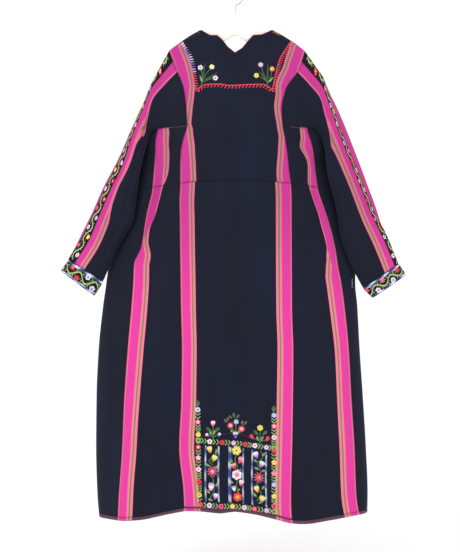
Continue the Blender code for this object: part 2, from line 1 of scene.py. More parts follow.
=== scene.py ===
"""Palestinian thobe dress on a coat hanger, seen from its back.

The frame is in metres with the origin at the inside top of the hook, +X to the right in the view, -Y out of
the dress's back and +Z up. Tables are in millimetres, and a drop is a distance below the origin.
The cloth is built from the same tables as the part's solids, with finer cells, creases and seams.
"""

import functools
import math

import bpy
import numpy as np
from bpy.props import FloatProperty, FloatVectorProperty, IntProperty, PointerProperty
from bpy.types import Operator, Panel, PropertyGroup
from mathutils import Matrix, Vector


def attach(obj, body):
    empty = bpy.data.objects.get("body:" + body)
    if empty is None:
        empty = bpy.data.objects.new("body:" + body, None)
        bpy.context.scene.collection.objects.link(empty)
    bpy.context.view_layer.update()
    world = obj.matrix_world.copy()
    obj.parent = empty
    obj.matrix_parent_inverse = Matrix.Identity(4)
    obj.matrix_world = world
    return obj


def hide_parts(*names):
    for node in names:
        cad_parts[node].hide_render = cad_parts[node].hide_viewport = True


bl_info = {
    "name": "Thobe Dress",
    "version": (1, 0, 0),
    "blender": (4, 5, 0),
    "location": "View3D > Sidebar > Thobe",
    "description": "Builds a long embroidered dress that hangs on a coat hanger, with its cloth and threads",
    "category": "Add Mesh",
}

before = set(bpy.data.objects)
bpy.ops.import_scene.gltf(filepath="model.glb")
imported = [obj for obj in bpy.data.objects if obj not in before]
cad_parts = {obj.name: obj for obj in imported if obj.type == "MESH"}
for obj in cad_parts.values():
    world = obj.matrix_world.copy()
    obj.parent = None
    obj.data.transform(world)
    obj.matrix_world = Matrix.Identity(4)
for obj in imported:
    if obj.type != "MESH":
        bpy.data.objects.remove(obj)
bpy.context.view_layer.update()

MM = 0.001
SHOULDER_RADIUS = 14.0
CROWN_BLEND = 150.0   # distance below the shoulder line over which the body reaches its full depth
ROUNDNESS = 2.6       # exponent of the body's section, 2 is an ellipse
ARMPIT_DROP = 389.0
WAIST_DROP = 541.0
HEM_DROP = 1480.0
HEM_BAND = 9.0        # width of the hem binding
HEM_START = 1250.0    # above this the hem's curve has no effect

# Colours as 0 to 255 on a screen.
NAVY, BLACK = (14, 18, 36), (12, 12, 18)
MAGENTA, SALMON = (219, 56, 150), (244, 118, 150)
GREEN_LINE, GOLD_LINE = (112, 118, 84), (176, 150, 96)
MAROON = (94, 62, 80)
WOOD, STEEL = (236, 232, 222), (190, 190, 194)

# The stage, in metres.
CAMERA_PLACE = (-0.0141, -2.9, -0.8075)
FLOOR_HEIGHT, FLOOR_RADIUS, FLOOR_SIDES = -1.72, 14.0, 64
KEY_PLACE, KEY_SIZE = (-1.7, -2.3, 0.5), 1.3
FILL_PLACE, FILL_SIZE = (2.0, -2.2, -0.5), 1.6
LIGHT_TARGET = (0.0, 0.0, -0.75)

# Threads of the embroidery, 0 to 255 on a screen.
THREADS = {
    "white": (238, 234, 242), "pink": (244, 96, 140), "rose": (248, 168, 190), "red": (236, 48, 62),
    "coral": (226, 52, 78), "yellow": (240, 214, 84), "butter": (246, 234, 148), "orange": (238, 140, 62),
    "violet": (138, 92, 184), "lilac": (206, 172, 226), "blue": (52, 82, 170), "sky": (150, 184, 232),
    "navy": (38, 46, 92), "green": (78, 122, 62), "leaf": (158, 198, 112), "moss": (52, 84, 58),
    "olive": (110, 124, 64), "cream": (214, 200, 160), "wine": (96, 32, 50), "rust": (150, 70, 74),
}

# The yoke's ladder: the line's places, the threads of its rungs and of its rail, how far the rungs slant and
# lie apart, and the length over which their shades repeat.
LADDER_WIDTH, RUNG_WIDTH, RAIL_POINTS = 9.5, 2.6, 28
YOKE_LADDERS = (
    (((-101, 288), (-90, 280), (-79, 276), (-47, 275), (-15, 279), (30, 277), (74, 276), (89, 281),
      (102, 292)),
     "coral coral", "coral", 6.0, 9.8, 90.0),
    (((108, 291), (115, 262), (120, 236), (131, 199), (147, 172), (162, 150)),
     "coral coral", "coral", -1.5, 7.0, 90.0),
    (((-104, 289), (-110, 262), (-114, 234)), "coral coral", "coral", 1.5, 7.2, 90.0),
    (((-114, 234), (-122, 199), (-136, 172), (-149, 155)), "white lilac violet", "violet", 1.5, 7.2, 43.0),
)
# The yoke's sprays: where the stalks start, and for each its kind, its tip, its threads and its bend.
YOKE_FLOWER, FROND_PAIRS, FROND_SIZE = 15.0, 9, 3.4   # flowers, and pairs and size of a frond's leaves
YOKE_SPRAYS = (
    ((-92, 266), (("feather", -84, 212, "moss green", 0), ("feather", -50, 238, "moss green", 0),
                  ("feather", -98, 248, "leaf green", 0), ("flower", -97, 223, "white rose pink", -3),
                  ("flower", -65, 221, "butter white yellow", 3),
                  ("flower", -55, 253, "white rose violet", 2))),
    ((92, 266), (("feather", 92, 216, "moss green", 0), ("feather", 70, 236, "moss green", 0),
                 ("feather", 106, 252, "leaf green", 0), ("flower", 72, 215, "lilac white violet", 2),
                 ("flower", 104, 227, "orange butter red", -3),
                 ("flower", 60, 246, "yellow butter olive", -2))),
)

# The lower panel's borders: x, drop and the threads of each flower.
HEM_BORDER_LEFT = (
    (-103, 1177, "white sky blue"), (-103, 1211, "pink white red"), (-102, 1246, "yellow butter orange"),
    (-102, 1281, "red rose white"), (-102, 1311, "rose white pink"), (-101, 1343, "white rose pink"),
    (-100, 1378, "red red wine"), (-99, 1414, "yellow orange leaf"), (-97, 1440, "red rose wine"),
)
HEM_BORDER_RIGHT = (
    (107, 1190, "sky white blue"), (107, 1220, "pink white red"), (107, 1251, "white rose pink"),
    (107, 1287, "red coral wine"), (107, 1320, "yellow butter orange"), (107, 1350, "rose red white"),
    (107, 1381, "sky white blue"), (107, 1413, "yellow butter leaf"), (107, 1440, "pink red wine"),
)
HEM_BORDER_TOP = (
    (-102, 1262, "leaf green moss"), (-70, 1265, "white rose pink"), (-36, 1268, "red coral wine"),
    (-4, 1270, "lilac white violet"), (28, 1273, "red coral wine"), (55, 1276, "white rose pink"),
    (86, 1279, "lilac white violet"), (107, 1281, "leaf green moss"),
)
HEM_BORDER_BOTTOM = (
    (-95, 1441, "red coral wine"), (-71, 1442, "white lilac violet"), (-39, 1445, "pink red wine"),
    (-7, 1446, "yellow butter orange"), (26, 1449, "white rose pink"), (54, 1451, "red rose wine"),
    (87, 1453, "lilac white violet"), (107, 1455, "leaf green moss"),
)
BORDER_FLOWER, BORDER_STEP, CHEVRON_SIZE = 15.0, 8.0, 7.2   # size of flowers, room and size of chevrons
# Blue and white lines between the columns: x, threads, and whether the stitches reach wide.
HEM_LINES = (
    (-81, "white sky blue", False), (-45, "blue sky white", False), (-14, "white sky blue blue", True),
    (23, "white sky blue", False), (48, "blue sky white", False), (86, "sky white blue", False),
)
# Where the lines start and end, as drops at two x. The reach, slant, step and width of their stitches, slim
# and wide, and the length over which their shades repeat.
HEM_LINES_TOP, HEM_LINES_BOTTOM = ((-70, 86), (1277, 1291)), ((-70, 87), (1432, 1443))
HEM_LINE_STITCHES = {False: (4.6, 2.6, 1.7, 1.2), True: (8.5, 4.0, 2.4, 1.5)}
HEM_LINE_PERIOD = 46.0
HEM_STEMS = (
    ((-52, 1284), (-58, 1304), (-72, 1318), (-62, 1330)), ((-64, 1360), (-60, 1376), (-58, 1398),
     (-70, 1424)),
    ((4, 1300), (0, 1318), (6, 1336), (4, 1350)), ((8, 1370), (4, 1388), (8, 1408)),
    ((70, 1290), (76, 1306), (62, 1326), (70, 1346)), ((66, 1374), (56, 1390), (72, 1406), (60, 1428)),
    ((-61, 1258), (-61, 1222)), ((-61, 1254), (-75, 1244)), ((-61, 1254), (-47, 1244)),
    ((1, 1240), (-12, 1226)), ((1, 1240), (17, 1230)), ((1, 1240), (3, 1214)),
    ((69, 1272), (69, 1234)), ((69, 1264), (50, 1254)), ((69, 1264), (86, 1258)),
)
# Leaves: x, drop, lean from upright in degrees, length and the threads of both halves.
HEM_LEAVES = (
    (-50, 1294, 25, 13, "leaf", "green"), (-74, 1330, -60, 13, "leaf", "green"),
    (-52, 1336, 60, 12, "green", "leaf"), (-50, 1386, 30, 12, "leaf", "green"),
    (-72, 1404, -30, 13, "leaf", "olive"), (-68, 1427, -75, 13, "green", "leaf"),
    (-10, 1318, -35, 13, "leaf", "green"), (0, 1330, -20, 11, "cream", "leaf"),
    (14, 1347, 30, 10, "leaf", "olive"), (-8, 1378, -50, 11, "leaf", "green"),
    (10, 1402, 40, 11, "leaf", "green"), (80, 1300, 35, 13, "leaf", "green"),
    (58, 1318, -50, 12, "leaf", "green"), (60, 1340, -65, 13, "green", "leaf"),
    (78, 1346, 70, 12, "leaf", "green"), (78, 1392, 40, 12, "leaf", "green"),
    (56, 1412, -40, 13, "leaf", "olive"), (70, 1432, 65, 13, "green", "leaf"),
    (-72, 1232, -50, 17, "moss", "green"), (-50, 1232, 50, 17, "moss", "green"),
    (-66, 1240, -25, 14, "leaf", "green"), (-56, 1240, 25, 14, "leaf", "green"),
    (-2, 1193, -10, 14, "olive", "moss"), (8, 1197, 40, 13, "olive", "moss"),
    (-12, 1197, -40, 12, "olive", "moss"), (-26, 1208, -35, 13, "moss", "olive"),
    (-20, 1204, 0, 11, "rust", "olive"), (28, 1214, 35, 13, "moss", "olive"),
    (20, 1213, 0, 12, "rust", "olive"),
    (-8, 1236, -40, 11, "leaf", "green"), (12, 1240, 40, 11, "leaf", "green"),
    (58, 1240, -45, 17, "moss", "green"), (81, 1240, 45, 17, "moss", "green"),
    (64, 1256, -25, 14, "leaf", "green"), (75, 1256, 25, 14, "leaf", "green"),
)
# Flowers, buds and stars: x, drop, size, lean and threads.
HEM_MOTIFS = (
    ("tulip", -70, 1287, 20, -12, "orange yellow butter"),
    ("tulip", -58, 1312, 22, 25, "olive yellow butter"),
    ("star", -63, 1348, 33, 0, "pink rose"), ("tulip", -66, 1390, 24, 8, "rose white lilac"),
    ("tulip", -54, 1417, 19, 20, "violet lilac white"),
    ("flower", 4, 1291, 27, 0, "yellow butter olive"), ("tulip", 15, 1318, 21, 25, "red pink rose"),
    ("tulip", -4, 1335, 18, -20, "red coral rose"), ("flower", 5, 1359, 29, 0, "white rose pink"),
    ("tulip", 17, 1381, 19, 15, "red rose white"), ("tulip", -3, 1397, 17, -15, "rose white lilac"),
    ("flower", 7, 1420, 26, 0, "red orange yellow"),
    ("tulip", 58, 1302, 21, -20, "violet lilac white"), ("tulip", 73, 1327, 21, 25, "violet lilac white"),
    ("star", 66, 1364, 33, 0, "pink orange"), ("tulip", 60, 1396, 20, -15, "orange yellow butter"),
    ("tulip", 74, 1423, 22, 20, "olive yellow butter"),
    ("tulip", -61, 1215, 17, 0, "red rose white"), ("tulip", -77, 1247, 12, -30, "violet lilac white"),
    ("tulip", -44, 1246, 12, 30, "violet lilac white"), ("flower", -13, 1221, 18, 0, "red rose white"),
    ("flower", 18, 1230, 19, 0, "coral rose white"), ("flower", 3, 1211, 15, 0, "sky white blue"),
    ("tulip", 1, 1247, 19, 0, "violet blue white"), ("flower", 69, 1226, 17, 0, "yellow butter olive"),
    ("tulip", 46, 1251, 15, -30, "red red coral"), ("tulip", 89, 1255, 15, 30, "red red coral"),
)
LEAF_HALF, TULIP_HALF = 0.26, 0.36   # half widths as shares of the length
VINE_REACH = 8.5
STRIP_PITCH, STRIP_FLOWER, STRIP_START = 58.0, 14.0, 12.0
CUFF_FLOWER = 15.5
# Cords of a cuff, as distances from its upper and its lower edge.
CORDS_ABOVE, CORDS_BELOW = (2.2, 4.3, 6.4), (5.7, 3.5)
SLEEVE_FLOWERS = {
    "left": ("white rose violet", "red rose white", "pink red wine", "lilac white violet", "white rose pink",
             "yellow butter orange", "red coral white"),
    "right": ("white rose violet", "red coral white", "lilac white violet", "pink rose white", "red red wine",
              "white sky violet", "yellow butter orange"),
}
CUFF_FLOWERS = {
    "left": ("red coral rose", "red red wine", "white lilac violet", "white lilac violet", "rose red white"),
    "right": ("red red wine", "white lilac violet", "pink red rose", "white rose violet", "coral red rose"),
}
SEAM_LINES = (((-218, 395), (-182, 392), (-137, 389)), ((152, 390), (176, 392), (200, 395)))
BARTACKS = (((-367, 813), (-366, 827)), ((331, 816), (330, 839)))
SHOULDER_TACKS = (
    (((-116, 122), (-112, 120), (-108, 119)), "yellow"), (((-120, 126), (-104, 119)), "coral"),
    (((109, 119), (113, 121), (117, 124)), "yellow"), (((104, 119), (121, 127)), "coral"),
)

# The body at each height: x of the side folds, of the side seams and of the centre seams, how far the
# back and the front stand out, and the y of the side folds.
BODY_COLUMNS = ("drop", "fold_l", "side_l", "centre_l", "centre_r", "side_r", "fold_r", "back", "front",
                "fold_y")
BODY_LEVELS = (
    (100, -252, -236, -205, 218, 240, 256, 12, 12, 0),
    (171, -250, -234, -186, 198, 238, 254, 16, 16, 0),
    (230, -246, -231, -163, 177, 234, 250, 22, 22, 0),
    (287, -240, -227, -143, 141, 228, 243, 29, 28, 0),
    (344, -231, -222, -136, 130, 218, 232, 34, 33, 0),
    (389, -224, -217, -134, 133, 204, 224, 38, 38, 0),
    (405, -236, -220, -139, 136, 206, 236, 39, 40, 2),
    (425, -248, -224, -145, 140, 213, 248, 41, 42, 6),
    (460, -260, -225, -152, 146, 221, 259, 43, 44, 15),
    (505, -275, -229, -153, 151, 227, 268, 45, 46, 23),
    (541, -287, -232, -153, 156, 232, 280, 46, 48, 26),
    (596, -299, -243, -155, 158, 248, 296, 48, 50, 26),
    (645, -310, -252, -154, 158, 262, 308, 49, 53, 26),
    (723, -341, -263, -153, 158, 281, 330, 52, 58, 26),
    (777, -359, -283, -152, 158, 289, 343, 55, 62, 23),
    (830, -366, -285, -151, 158, 299, 342, 58, 66, 19),
    (890, -374, -289, -150, 158, 307, 347, 61, 69, 14),
    (1011, -386, -299, -147, 161, 319, 353, 67, 75, 10),
    (1148, -392, -308, -149, 159, 326, 362, 73, 82, 8),
    (1284, -393, -313, -155, 156, 334, 370, 78, 88, 6),
    (1420, -389, -323, -143, 153, 339, 375, 81, 92, 4),
    (1500, -382, -327, -140, 157, 351, 373, 82, 94, 4),
)

# The top of the shoulders from side to side. Across the open neck it is raised, so that the cloth there
# already stands clear of the hanger.
SHOULDER_LINE = (
    (-250, 262), (-217, 229), (-206, 198), (-195, 181), (-184, 169), (-155, 147), (-126, 128), (-99, 113),
    (-93, 100), (101, 100), (107, 113), (138, 130), (170, 150), (201, 175), (212, 188), (223, 203),
    (234, 223), (256, 262),
)
# The neck opening of the back, a small notch with two turned corners, and of the front, which is rounder.
NECK_BACK = (
    (-99, 113), (-93, 117), (-70, 130), (-50, 130), (-34, 144), (-20, 163), (0, 179), (20, 166), (36, 146),
    (51, 130), (76, 128), (101, 117), (107, 113),
)
NECK_LEFT = -99.0
NECK_RIGHT = 107.0
NECK_FRONT_DEPTH = 75.0
# Places along the shoulder line where the columns of the centre panels start.
CENTRE_COLUMNS = (-184, -155, -126, -99, -93, -70, -50, -34, -20, 0, 20, 36, 51, 76, 101, 107, 138, 170, 201)

# The hem's drop from side to side.
HEM_BACK = (
    (-380, 1486), (-320, 1485), (-250, 1479), (-190, 1466), (-140, 1459), (-90, 1460), (-40, 1465),
    (0, 1461), (60, 1467), (115, 1477), (150, 1484), (200, 1486), (280, 1483), (330, 1475), (370, 1473),
)
HEM_FRONT = ((-380, 1486), (-220, 1478), (-90, 1484), (60, 1476), (220, 1484), (370, 1473))

# Folds of each face: x and drop of both ends, half width and how deep, a ridge being negative.
BODY_FOLDS = {
    "back": (
        (-20, 620, -5, 1500, 60, 12), (-150, 1050, -120, 1500, 70, 26), (20, 1150, 30, 1500, 70, 18),
        (-270, 980, -315, 1500, 55, -20), (150, 900, 185, 1500, 60, -22), (262, 1000, 285, 1500, 45, 12),
        (-205, 620, -250, 900, 26, 7), (214, 560, 250, 900, 26, 7),
    ),
    "front": (
        (0, 620, 10, 1500, 70, 16), (-150, 760, -190, 1500, 60, -20), (140, 800, 160, 1500, 60, -22),
        (-260, 1000, -290, 1500, 50, 16), (250, 1000, 280, 1500, 45, 16),
    ),
}
FOLD_RISE = 1.6       # a fold has its full depth after 1 / 1.6 of its length
FOLD_FADE = 120.0     # a fold dies away over this distance past its end
FOLD_EDGE = 4.0       # folds die away over the outermost quarter of the half width
WAIST_DIP = 24.0      # how far the waist seam runs lower at the sides than in the middle
WAIST_DIP_HALF = 270.0
WAIST_DIP_REACH = 80.0

# The sleeves: top fold and under fold at each station, half depth, y of both folds, and how far the black
# strip's near edge lies round the tube from the top fold, and the strip's width that shows. Station 0 is the
# armhole, so the first row is station 1.
SLEEVE_LEFT = (
    (-234, 260, -241, 418, 27, 0, -3, 21, 26),
    (-260, 322, -254, 458, 31, -2, -14, 25, 17),
    (-291, 390, -264, 505, 33, -4, -24, 31, 17),
    (-330, 480, -272, 555, 33, -6, -24, 39, 21),
    (-370, 556, -278, 608, 32, -6, -22, 39, 22),
    (-404, 632, -286, 654, 28, -6, -20, 36, 22),
    (-438, 700, -328, 727, 22, -4, -18, 37, 26),
    (-471, 760, -370, 822, 16, -2, -14, 28, 27),
)
SLEEVE_RIGHT = (
    (247, 243, 241, 416, 27, 0, -3, 28, 30),
    (274, 305, 253, 456, 31, -2, -14, 36, 12),
    (305, 373, 258, 516, 33, -4, -24, 43, 10),
    (336, 452, 270, 566, 34, -6, -24, 43, 10),
    (370, 542, 284, 622, 32, -6, -22, 38, 10),
    (401, 627, 294, 690, 28, -6, -20, 31, 12),
    (432, 700, 316, 757, 22, -4, -18, 22, 24),
    (462, 773, 359, 841, 16, -2, -14, 18, 32),
)
# The mouth of each cuff, in the sleeve tables' columns.
CUFF_LEFT = (-491, 792, -395, 863, 17, -2, -12, 27, 36)
CUFF_RIGHT = (482, 804, 387, 869, 17, -2, -12, 20, 36)
STRIP_WIDTH = 36.0    # width for which the strips' embroidery is laid out
SLEEVE_DENT = 10.0    # depth of the crease that runs from the shoulder to the armpit
DENT_STATION = 0.55   # station of that crease
DENT_REACH = 0.22     # stations over which it dies away
SECTION_POINTS = 481  # points round half a tube, from which its columns are picked
FIRST_ROW = 0.12      # station of the sleeve's first row after the armhole

# Cells of the fine grids.
COLUMN_STEP = 6.5     # widest cell of the centre panels, at the shoulder line
UPPER_ROWS = 46
ROW_CROWDING = 1.25   # how much the upper rows crowd towards the shoulder line
EDGE_STEPS = 12       # steps in finding where a column meets the panel's upper edge
BODICE_ROWS = 24
SKIRT_ROWS = 132
SIDE_CELLS = 13       # cells between a centre seam and a side seam
FOLD_CELLS = 14       # cells between a side seam and the side fold
SLEEVE_ROWS = 92
STRIP_CELLS = 10      # cells of the strip on each side of its middle
CUFF_ROWS = 7
MEETING_START = 0.75  # share of the half width from which the heights of back and front draw together
SEAM_SIDE = 2.5       # distance of the columns and rows beside a seam
SEAM_DIP = 0.9        # how far a seam lies under the cloth beside it
BODICE_MIDDLE = -300.0  # height of a point inside the bodice, from which its walls face away

# Creases of each face: x and drop of both ends, half widths to the left and right of the crease's line, and
# how deep it is, a ridge being negative.
CREASES = {
    "back": (
        (3, 210, 8, 900, 17, 24, 5.7), (-52, 300, -30, 760, 20, 34, -3.5), (62, 330, 44, 700, 30, 20, -3.2),
        (20, 760, -6, 1260, 26, 18, 6.6), (-84, 420, -70, 690, 10, 18, 2.6), (92, 300, 84, 560, 14, 9, 2.9),
        (-205, 470, -290, 780, 10, 22, 9.2), (-176, 540, -262, 860, 16, 26, -6.2),
        (196, 470, 262, 760, 22, 10, 7.9), (180, 610, 238, 905, 24, 16, 7.0),
        (-168, 396, -212, 462, 7, 12, 6.6), (152, 396, 210, 452, 12, 7, 5.7),
        (-235, 395, -238, 560, 9, 7, 6.6), (244, 400, 262, 590, 7, 9, 6.6),
        (-120, 820, -132, 1200, 18, 28, -5.3), (96, 760, 118, 1130, 28, 18, -4.8),
        (-232, 850, -262, 1240, 20, 12, 5.7), (230, 930, 236, 1380, 14, 22, 5.3),
        (-330, 930, -352, 1400, 12, 18, 6.2), (318, 900, 330, 1330, 20, 12, 5.7),
        (-62, 1010, -54, 1210, 12, 16, 3.5), (58, 1120, 66, 1420, 14, 12, 4.0),
        (-285, 1120, -300, 1470, 14, 14, -4.8), (196, 1180, 206, 1480, 16, 14, -4.4),
    ),
    "front": (
        (-6, 190, 10, 720, 20, 30, 5.3), (-92, 250, -70, 640, 24, 16, -4.0),
        (84, 280, 96, 610, 16, 26, -3.8), (168, 410, 226, 760, 20, 10, 8.5),
        (-176, 430, -240, 790, 10, 22, 8.8), (-110, 700, -128, 1180, 18, 26, 6.2),
        (66, 640, 88, 1090, 24, 18, 5.7), (214, 820, 236, 1330, 14, 22, 5.7),
        (-250, 900, -282, 1380, 22, 14, 5.3), (12, 880, -8, 1400, 20, 24, -5.3),
        (312, 1000, 326, 1400, 18, 12, 4.8), (-336, 960, -350, 1350, 12, 18, 5.3),
    ),
}
CREASE_ENDS = 0.35    # share of a crease over which it swells from each end
CREASE_FREE = 30.0    # creases die away over this distance below the shoulder line
# How far the cloth's slight waves stand out: tall ones, slanting ones and small ones.
DRAPE_TALL, DRAPE_SLANT, DRAPE_SMALL = 1.3, 1.0, 0.25
# Creases of the sleeves: start and end station, share of the way round from the strip's middle at both
# ends (1 is the under fold, and the front follows up to 2), half width as such a share, and depth inwards.
SLEEVE_CREASES = {
    "left": (
        (0.8, 4.4, 0.62, 0.50, 0.07, 3.5), (1.6, 6.2, 0.82, 0.66, 0.06, -2.5),
        (3.4, 7.6, 0.55, 0.72, 0.05, 2.6),
        (4.6, 8.4, 0.84, 0.80, 0.06, -2.0), (0.5, 3.2, 0.30, 0.36, 0.05, 1.6),
        (5.0, 7.9, 0.38, 0.46, 0.05, 1.6),
        (0.9, 4.8, 1.35, 1.52, 0.07, 3.2), (2.4, 6.6, 1.18, 1.30, 0.06, -2.6),
        (4.2, 7.8, 1.52, 1.40, 0.06, 2.4),
    ),
    "right": (
        (0.7, 4.0, 0.60, 0.52, 0.07, 3.2), (1.9, 6.0, 0.80, 0.70, 0.06, -2.8),
        (3.0, 7.3, 0.50, 0.66, 0.05, 2.8),
        (4.9, 8.4, 0.86, 0.78, 0.06, -1.8), (0.6, 3.6, 0.34, 0.40, 0.05, 1.8),
        (5.2, 7.8, 0.42, 0.36, 0.05, 1.4),
        (0.8, 4.6, 1.40, 1.50, 0.07, 3.0), (2.7, 6.9, 1.22, 1.28, 0.06, -2.4),
        (4.6, 7.8, 1.56, 1.44, 0.06, 2.6),
    ),
}
CUFF_PLUMP = 0.9      # how far the lined cuffs stand out
BAND_ROWS = 4         # cells down the hem binding
BAND_PLUMP = 0.8      # how far the middle of the hem binding stands out

# Stitches.
THREAD_COLOUR = "Thread"
THREAD_STEP = 0.62    # distance between stitches that lie side by side
THREAD_SHADE = 0.07   # spread of the shades of one thread
THREAD_RAGGED = 0.5   # how uneven the meeting line of two shades is
THREAD_CLEAR = 0.25   # how far the foot of a stitch stands off the cloth's surface
RIDGE_INSET = 0.16    # share of a stitch from its end to where its ridge starts
SATIN_OVERLAP = 0.04  # share of a stitch that two shades overlap
SATIN_LIFT = 0.02     # how much higher each next shade lies
STEM_STEP = 2.4       # length of a stem stitch without its overlap

# Stripes and weave.
LEFT_SHRINK = 1.09    # how much narrower the left centre stripe is woven on the back's skirt
STRIPE_REACH = 50.0   # the ramp of the selvage's bands covers this distance
STRIPE_BLEND = 0.35   # half the distance over which a band turns into the next
WEAVE_TURNS = 2 * math.pi / 0.0011
NO_STRIPE = 1000.0    # selvage distance on cloth without stripes
FACING = 0.0055       # height of the hem facing that shows under the embroidered panel, in metres

# Where the centre stripes are tucked out of sight at the back bodice's edges: drop and hidden width.
CENTRE_HIDDEN = {
    "left": ((169, 0), (226, 1), (254, 5), (282, 11), (310, 19), (339, 27), (367, 31.5), (384, 33.6),
             (409, 23),
             (430, 14), (452, 6), (494, 1.5), (536, 0)),
    "right": ((169, 0), (226, 0), (254, 6), (282, 13), (309, 22.5), (339, 24), (381, 28.6), (418, 28),
              (452, 20),
              (494, 12), (536, 6)),
}
# The back's side stripes: drop, width hidden at the seam, how much narrower the cloth shows as it is turned
# away, and the distance at which a crease tucks in some width.
SIDE_TUCKS = {
    "left": ((392, 12, 1, 46, 0), (414, 7, 1, 46, 0), (452, 3, 1, 46, 0), (513, 0, 1, 46, 0),
             (540, 0, 1, 34, 5),
             (554, 0, 1, 33, 11), (575, 0, 1, 32, 13.5), (616, 0, 1, 31.7, 13.8), (649, 0, 1, 27.6, 17.9),
             (670, 0, 1, 16.8, 25.3), (683, 0, 1, 12.1, 26), (700, 0, 1, 6.7, 26), (717, 0, 1, 1.5, 23.6),
             (734, 0, 1, 0, 15.9), (751, 0, 1, 0, 6.8), (767, 0, 1, 0, 1.4), (791, 0, 1, 0, 0)),
    "right": ((392, 16, 1.25, 46, 0), (412, 15, 1.25, 46, 0), (446, 1, 1.2, 46, 0), (495, 0, 2.07, 46, 0),
              (536, 0, 1.75, 46, 0), (576, 0, 1.35, 31.5, 14), (624, 0, 1.35, 31.5, 14),
              (668, 0, 1.25, 32, 13.5),
              (710, 0, 1.25, 31, 14), (727, 0, 1.2, 30, 14.5), (754, 0, 1, 20.8, 14.6),
              (775, 0, 1, 19.3, 10.5),
              (796, 0, 1, 20, 5.7), (817, 0, 1, 20, 1), (860, 0, 1, 20, 0)),
}
# The stripe beside a sleeve's strip at the back: station, width hidden at the seam, and width that a crease
# tucks in at SLEEVE_TUCK_AT from the seam.
SLEEVE_TUCKS = {
    "left": ((0, 4, 12), (0.8, 10, 10), (1.2, 12, 4), (1.5, 12.5, 0), (1.8, 14, 0), (2.3, 14.5, 4),
             (2.9, 14.5, 8),
             (4.55, 16.5, 9), (5.3, 13, 9), (5.8, 12, 5), (6.3, 11, 0), (8, 11, 0)),
    "right": ((0, 4, 12), (1, 6, 12), (1.5, 11, 12), (2, 13, 8), (2.6, 13, 0), (4, 13, 0), (5.5, 12, 0),
              (7, 10, 0), (8, 9, 0)),
}
SLEEVE_TUCK_AT = {"left": 33.5, "right": 33.0}
NEAR_HALF = 100.0     # the sleeve's creases that hide its stripe lie nearer to the strip than this
FRONT_HIDDEN = 3.5    # width of the front's stripe that is sewn under the strip

# The hanger, as in the part's source, with finer steps.
ARM_HALF = 5.0        # half thickness of the arms
ARM_REST = 2.45       # how far the arms' top lies under the outside of the cloth
ARM_TIP_LEFT, ARM_TIP_RIGHT = -176.0, 190.0
ARM_DEPTH_MIDDLE, ARM_DEPTH_TIP, ARM_TAPER = 62.0, 20.0, 1.5
HANGER_PEAK, PEAK_HALF, RISE_HALF, RISE_SHAPE = 68.0, 8.0, 86.0, 0.85
ARM_SIDES, ARM_STEPS, TIP_STEPS = 28, 120, 6
WIRE_RADIUS, WIRE_SIDES, WIRE_STEPS = 2.0, 20, 150
HOOK_RADIUS, HOOK_START, HOOK_END, HOOK_STEPS = 20.0, -62.0, 185.0, 22
SHANK = ((0, -67.7), (0, -58), (0, -52), (1.5, -46.5), (5, -42))
PIPING_HALF = (0.75, 0.65)   # half height and half thickness of the neck's piping
PIPING_STEPS, PIPING_SIDES = 160, 10


def smooth_curve(knots, values, at):
    """Cubic curve through the knots, with the harmonic mean of both sides as slope, so it never swings."""
    knots = np.asarray(knots, float)
    values = np.asarray(values, float)
    at = np.clip(at, knots[0], knots[-1])
    steps = np.diff(knots)
    rises = (np.diff(values, axis=0).T / steps).T
    before, after = rises[:-1], rises[1:]
    same_way = before * after > 0
    middle = np.where(same_way, 2 * before * after / np.where(same_way, before + after, 1.0), 0.0)
    slopes = np.concatenate([rises[:1], middle, rises[-1:]])
    cell = np.clip(np.searchsorted(knots, at, side="right") - 1, 0, len(steps) - 1)
    width = steps[cell]
    t = (at - knots[cell]) / width
    if values.ndim > 1:
        t = t[..., None]
        width = width[..., None]
    start = values[cell] * (1 + 2 * t) * (1 - t) ** 2 + slopes[cell] * width * t * (1 - t) ** 2
    end = values[cell + 1] * t * t * (3 - 2 * t) + slopes[cell + 1] * width * t * t * (t - 1)
    return start + end


def unit(vectors):
    """Vectors scaled to length 1."""
    return vectors / np.maximum(np.linalg.norm(vectors, axis=-1, keepdims=True), 1e-9)


def lengths_along(path):
    """Length along a path from its first point to each of its points."""
    return np.concatenate([[0], np.cumsum(np.linalg.norm(np.diff(path, axis=0), axis=-1))])


def points_at(at, lengths, path):
    """Points at lengths along a path, straight between its points."""
    return np.stack([np.interp(at, lengths, column) for column in np.transpose(path)], axis=-1)


def whole_turn(count):
    """Angles of a whole turn in equal steps."""
    return np.linspace(0, 2 * math.pi, count, endpoint=False)


def path_frame(path):
    """Unit steps along a flat path, and unit steps to its side."""
    run = unit(np.gradient(path, axis=0))
    return run, np.stack([run[:, 1], -run[:, 0]], axis=-1)


def straight(base, tip):
    """Start, step, length and unit step aside of the straight way between two places."""
    base = np.asarray(base, float)
    run = np.asarray(tip, float) - base
    length = np.hypot(*run)
    return base, run, length, np.array([run[1], -run[0]]) / length


def leaning(lean):
    """Unit step that leans from upright by so many degrees."""
    angle = math.radians(lean)
    return np.array([math.sin(angle), -math.cos(angle)])


def level(column, drop):
    """One column of the body's table at any drop."""
    index = BODY_COLUMNS.index(column)
    return smooth_curve([row[0] for row in BODY_LEVELS], [row[index] for row in BODY_LEVELS], drop)


def line(table, x):
    """Drop of a line given as pairs of x and drop, straight between them."""
    return np.interp(x, [row[0] for row in table], [row[1] for row in table])


def soft_step(t):
    """0 to 1 with level ends: 3 t squared less 2 t cubed."""
    t = np.clip(t, 0, 1)
    return t * t * (3 - 2 * t)


def swell(along):
    """0 at both ends of a crease and 1 in its middle part."""
    return soft_step(along / CREASE_ENDS) * soft_step((1 - along) / CREASE_ENDS)


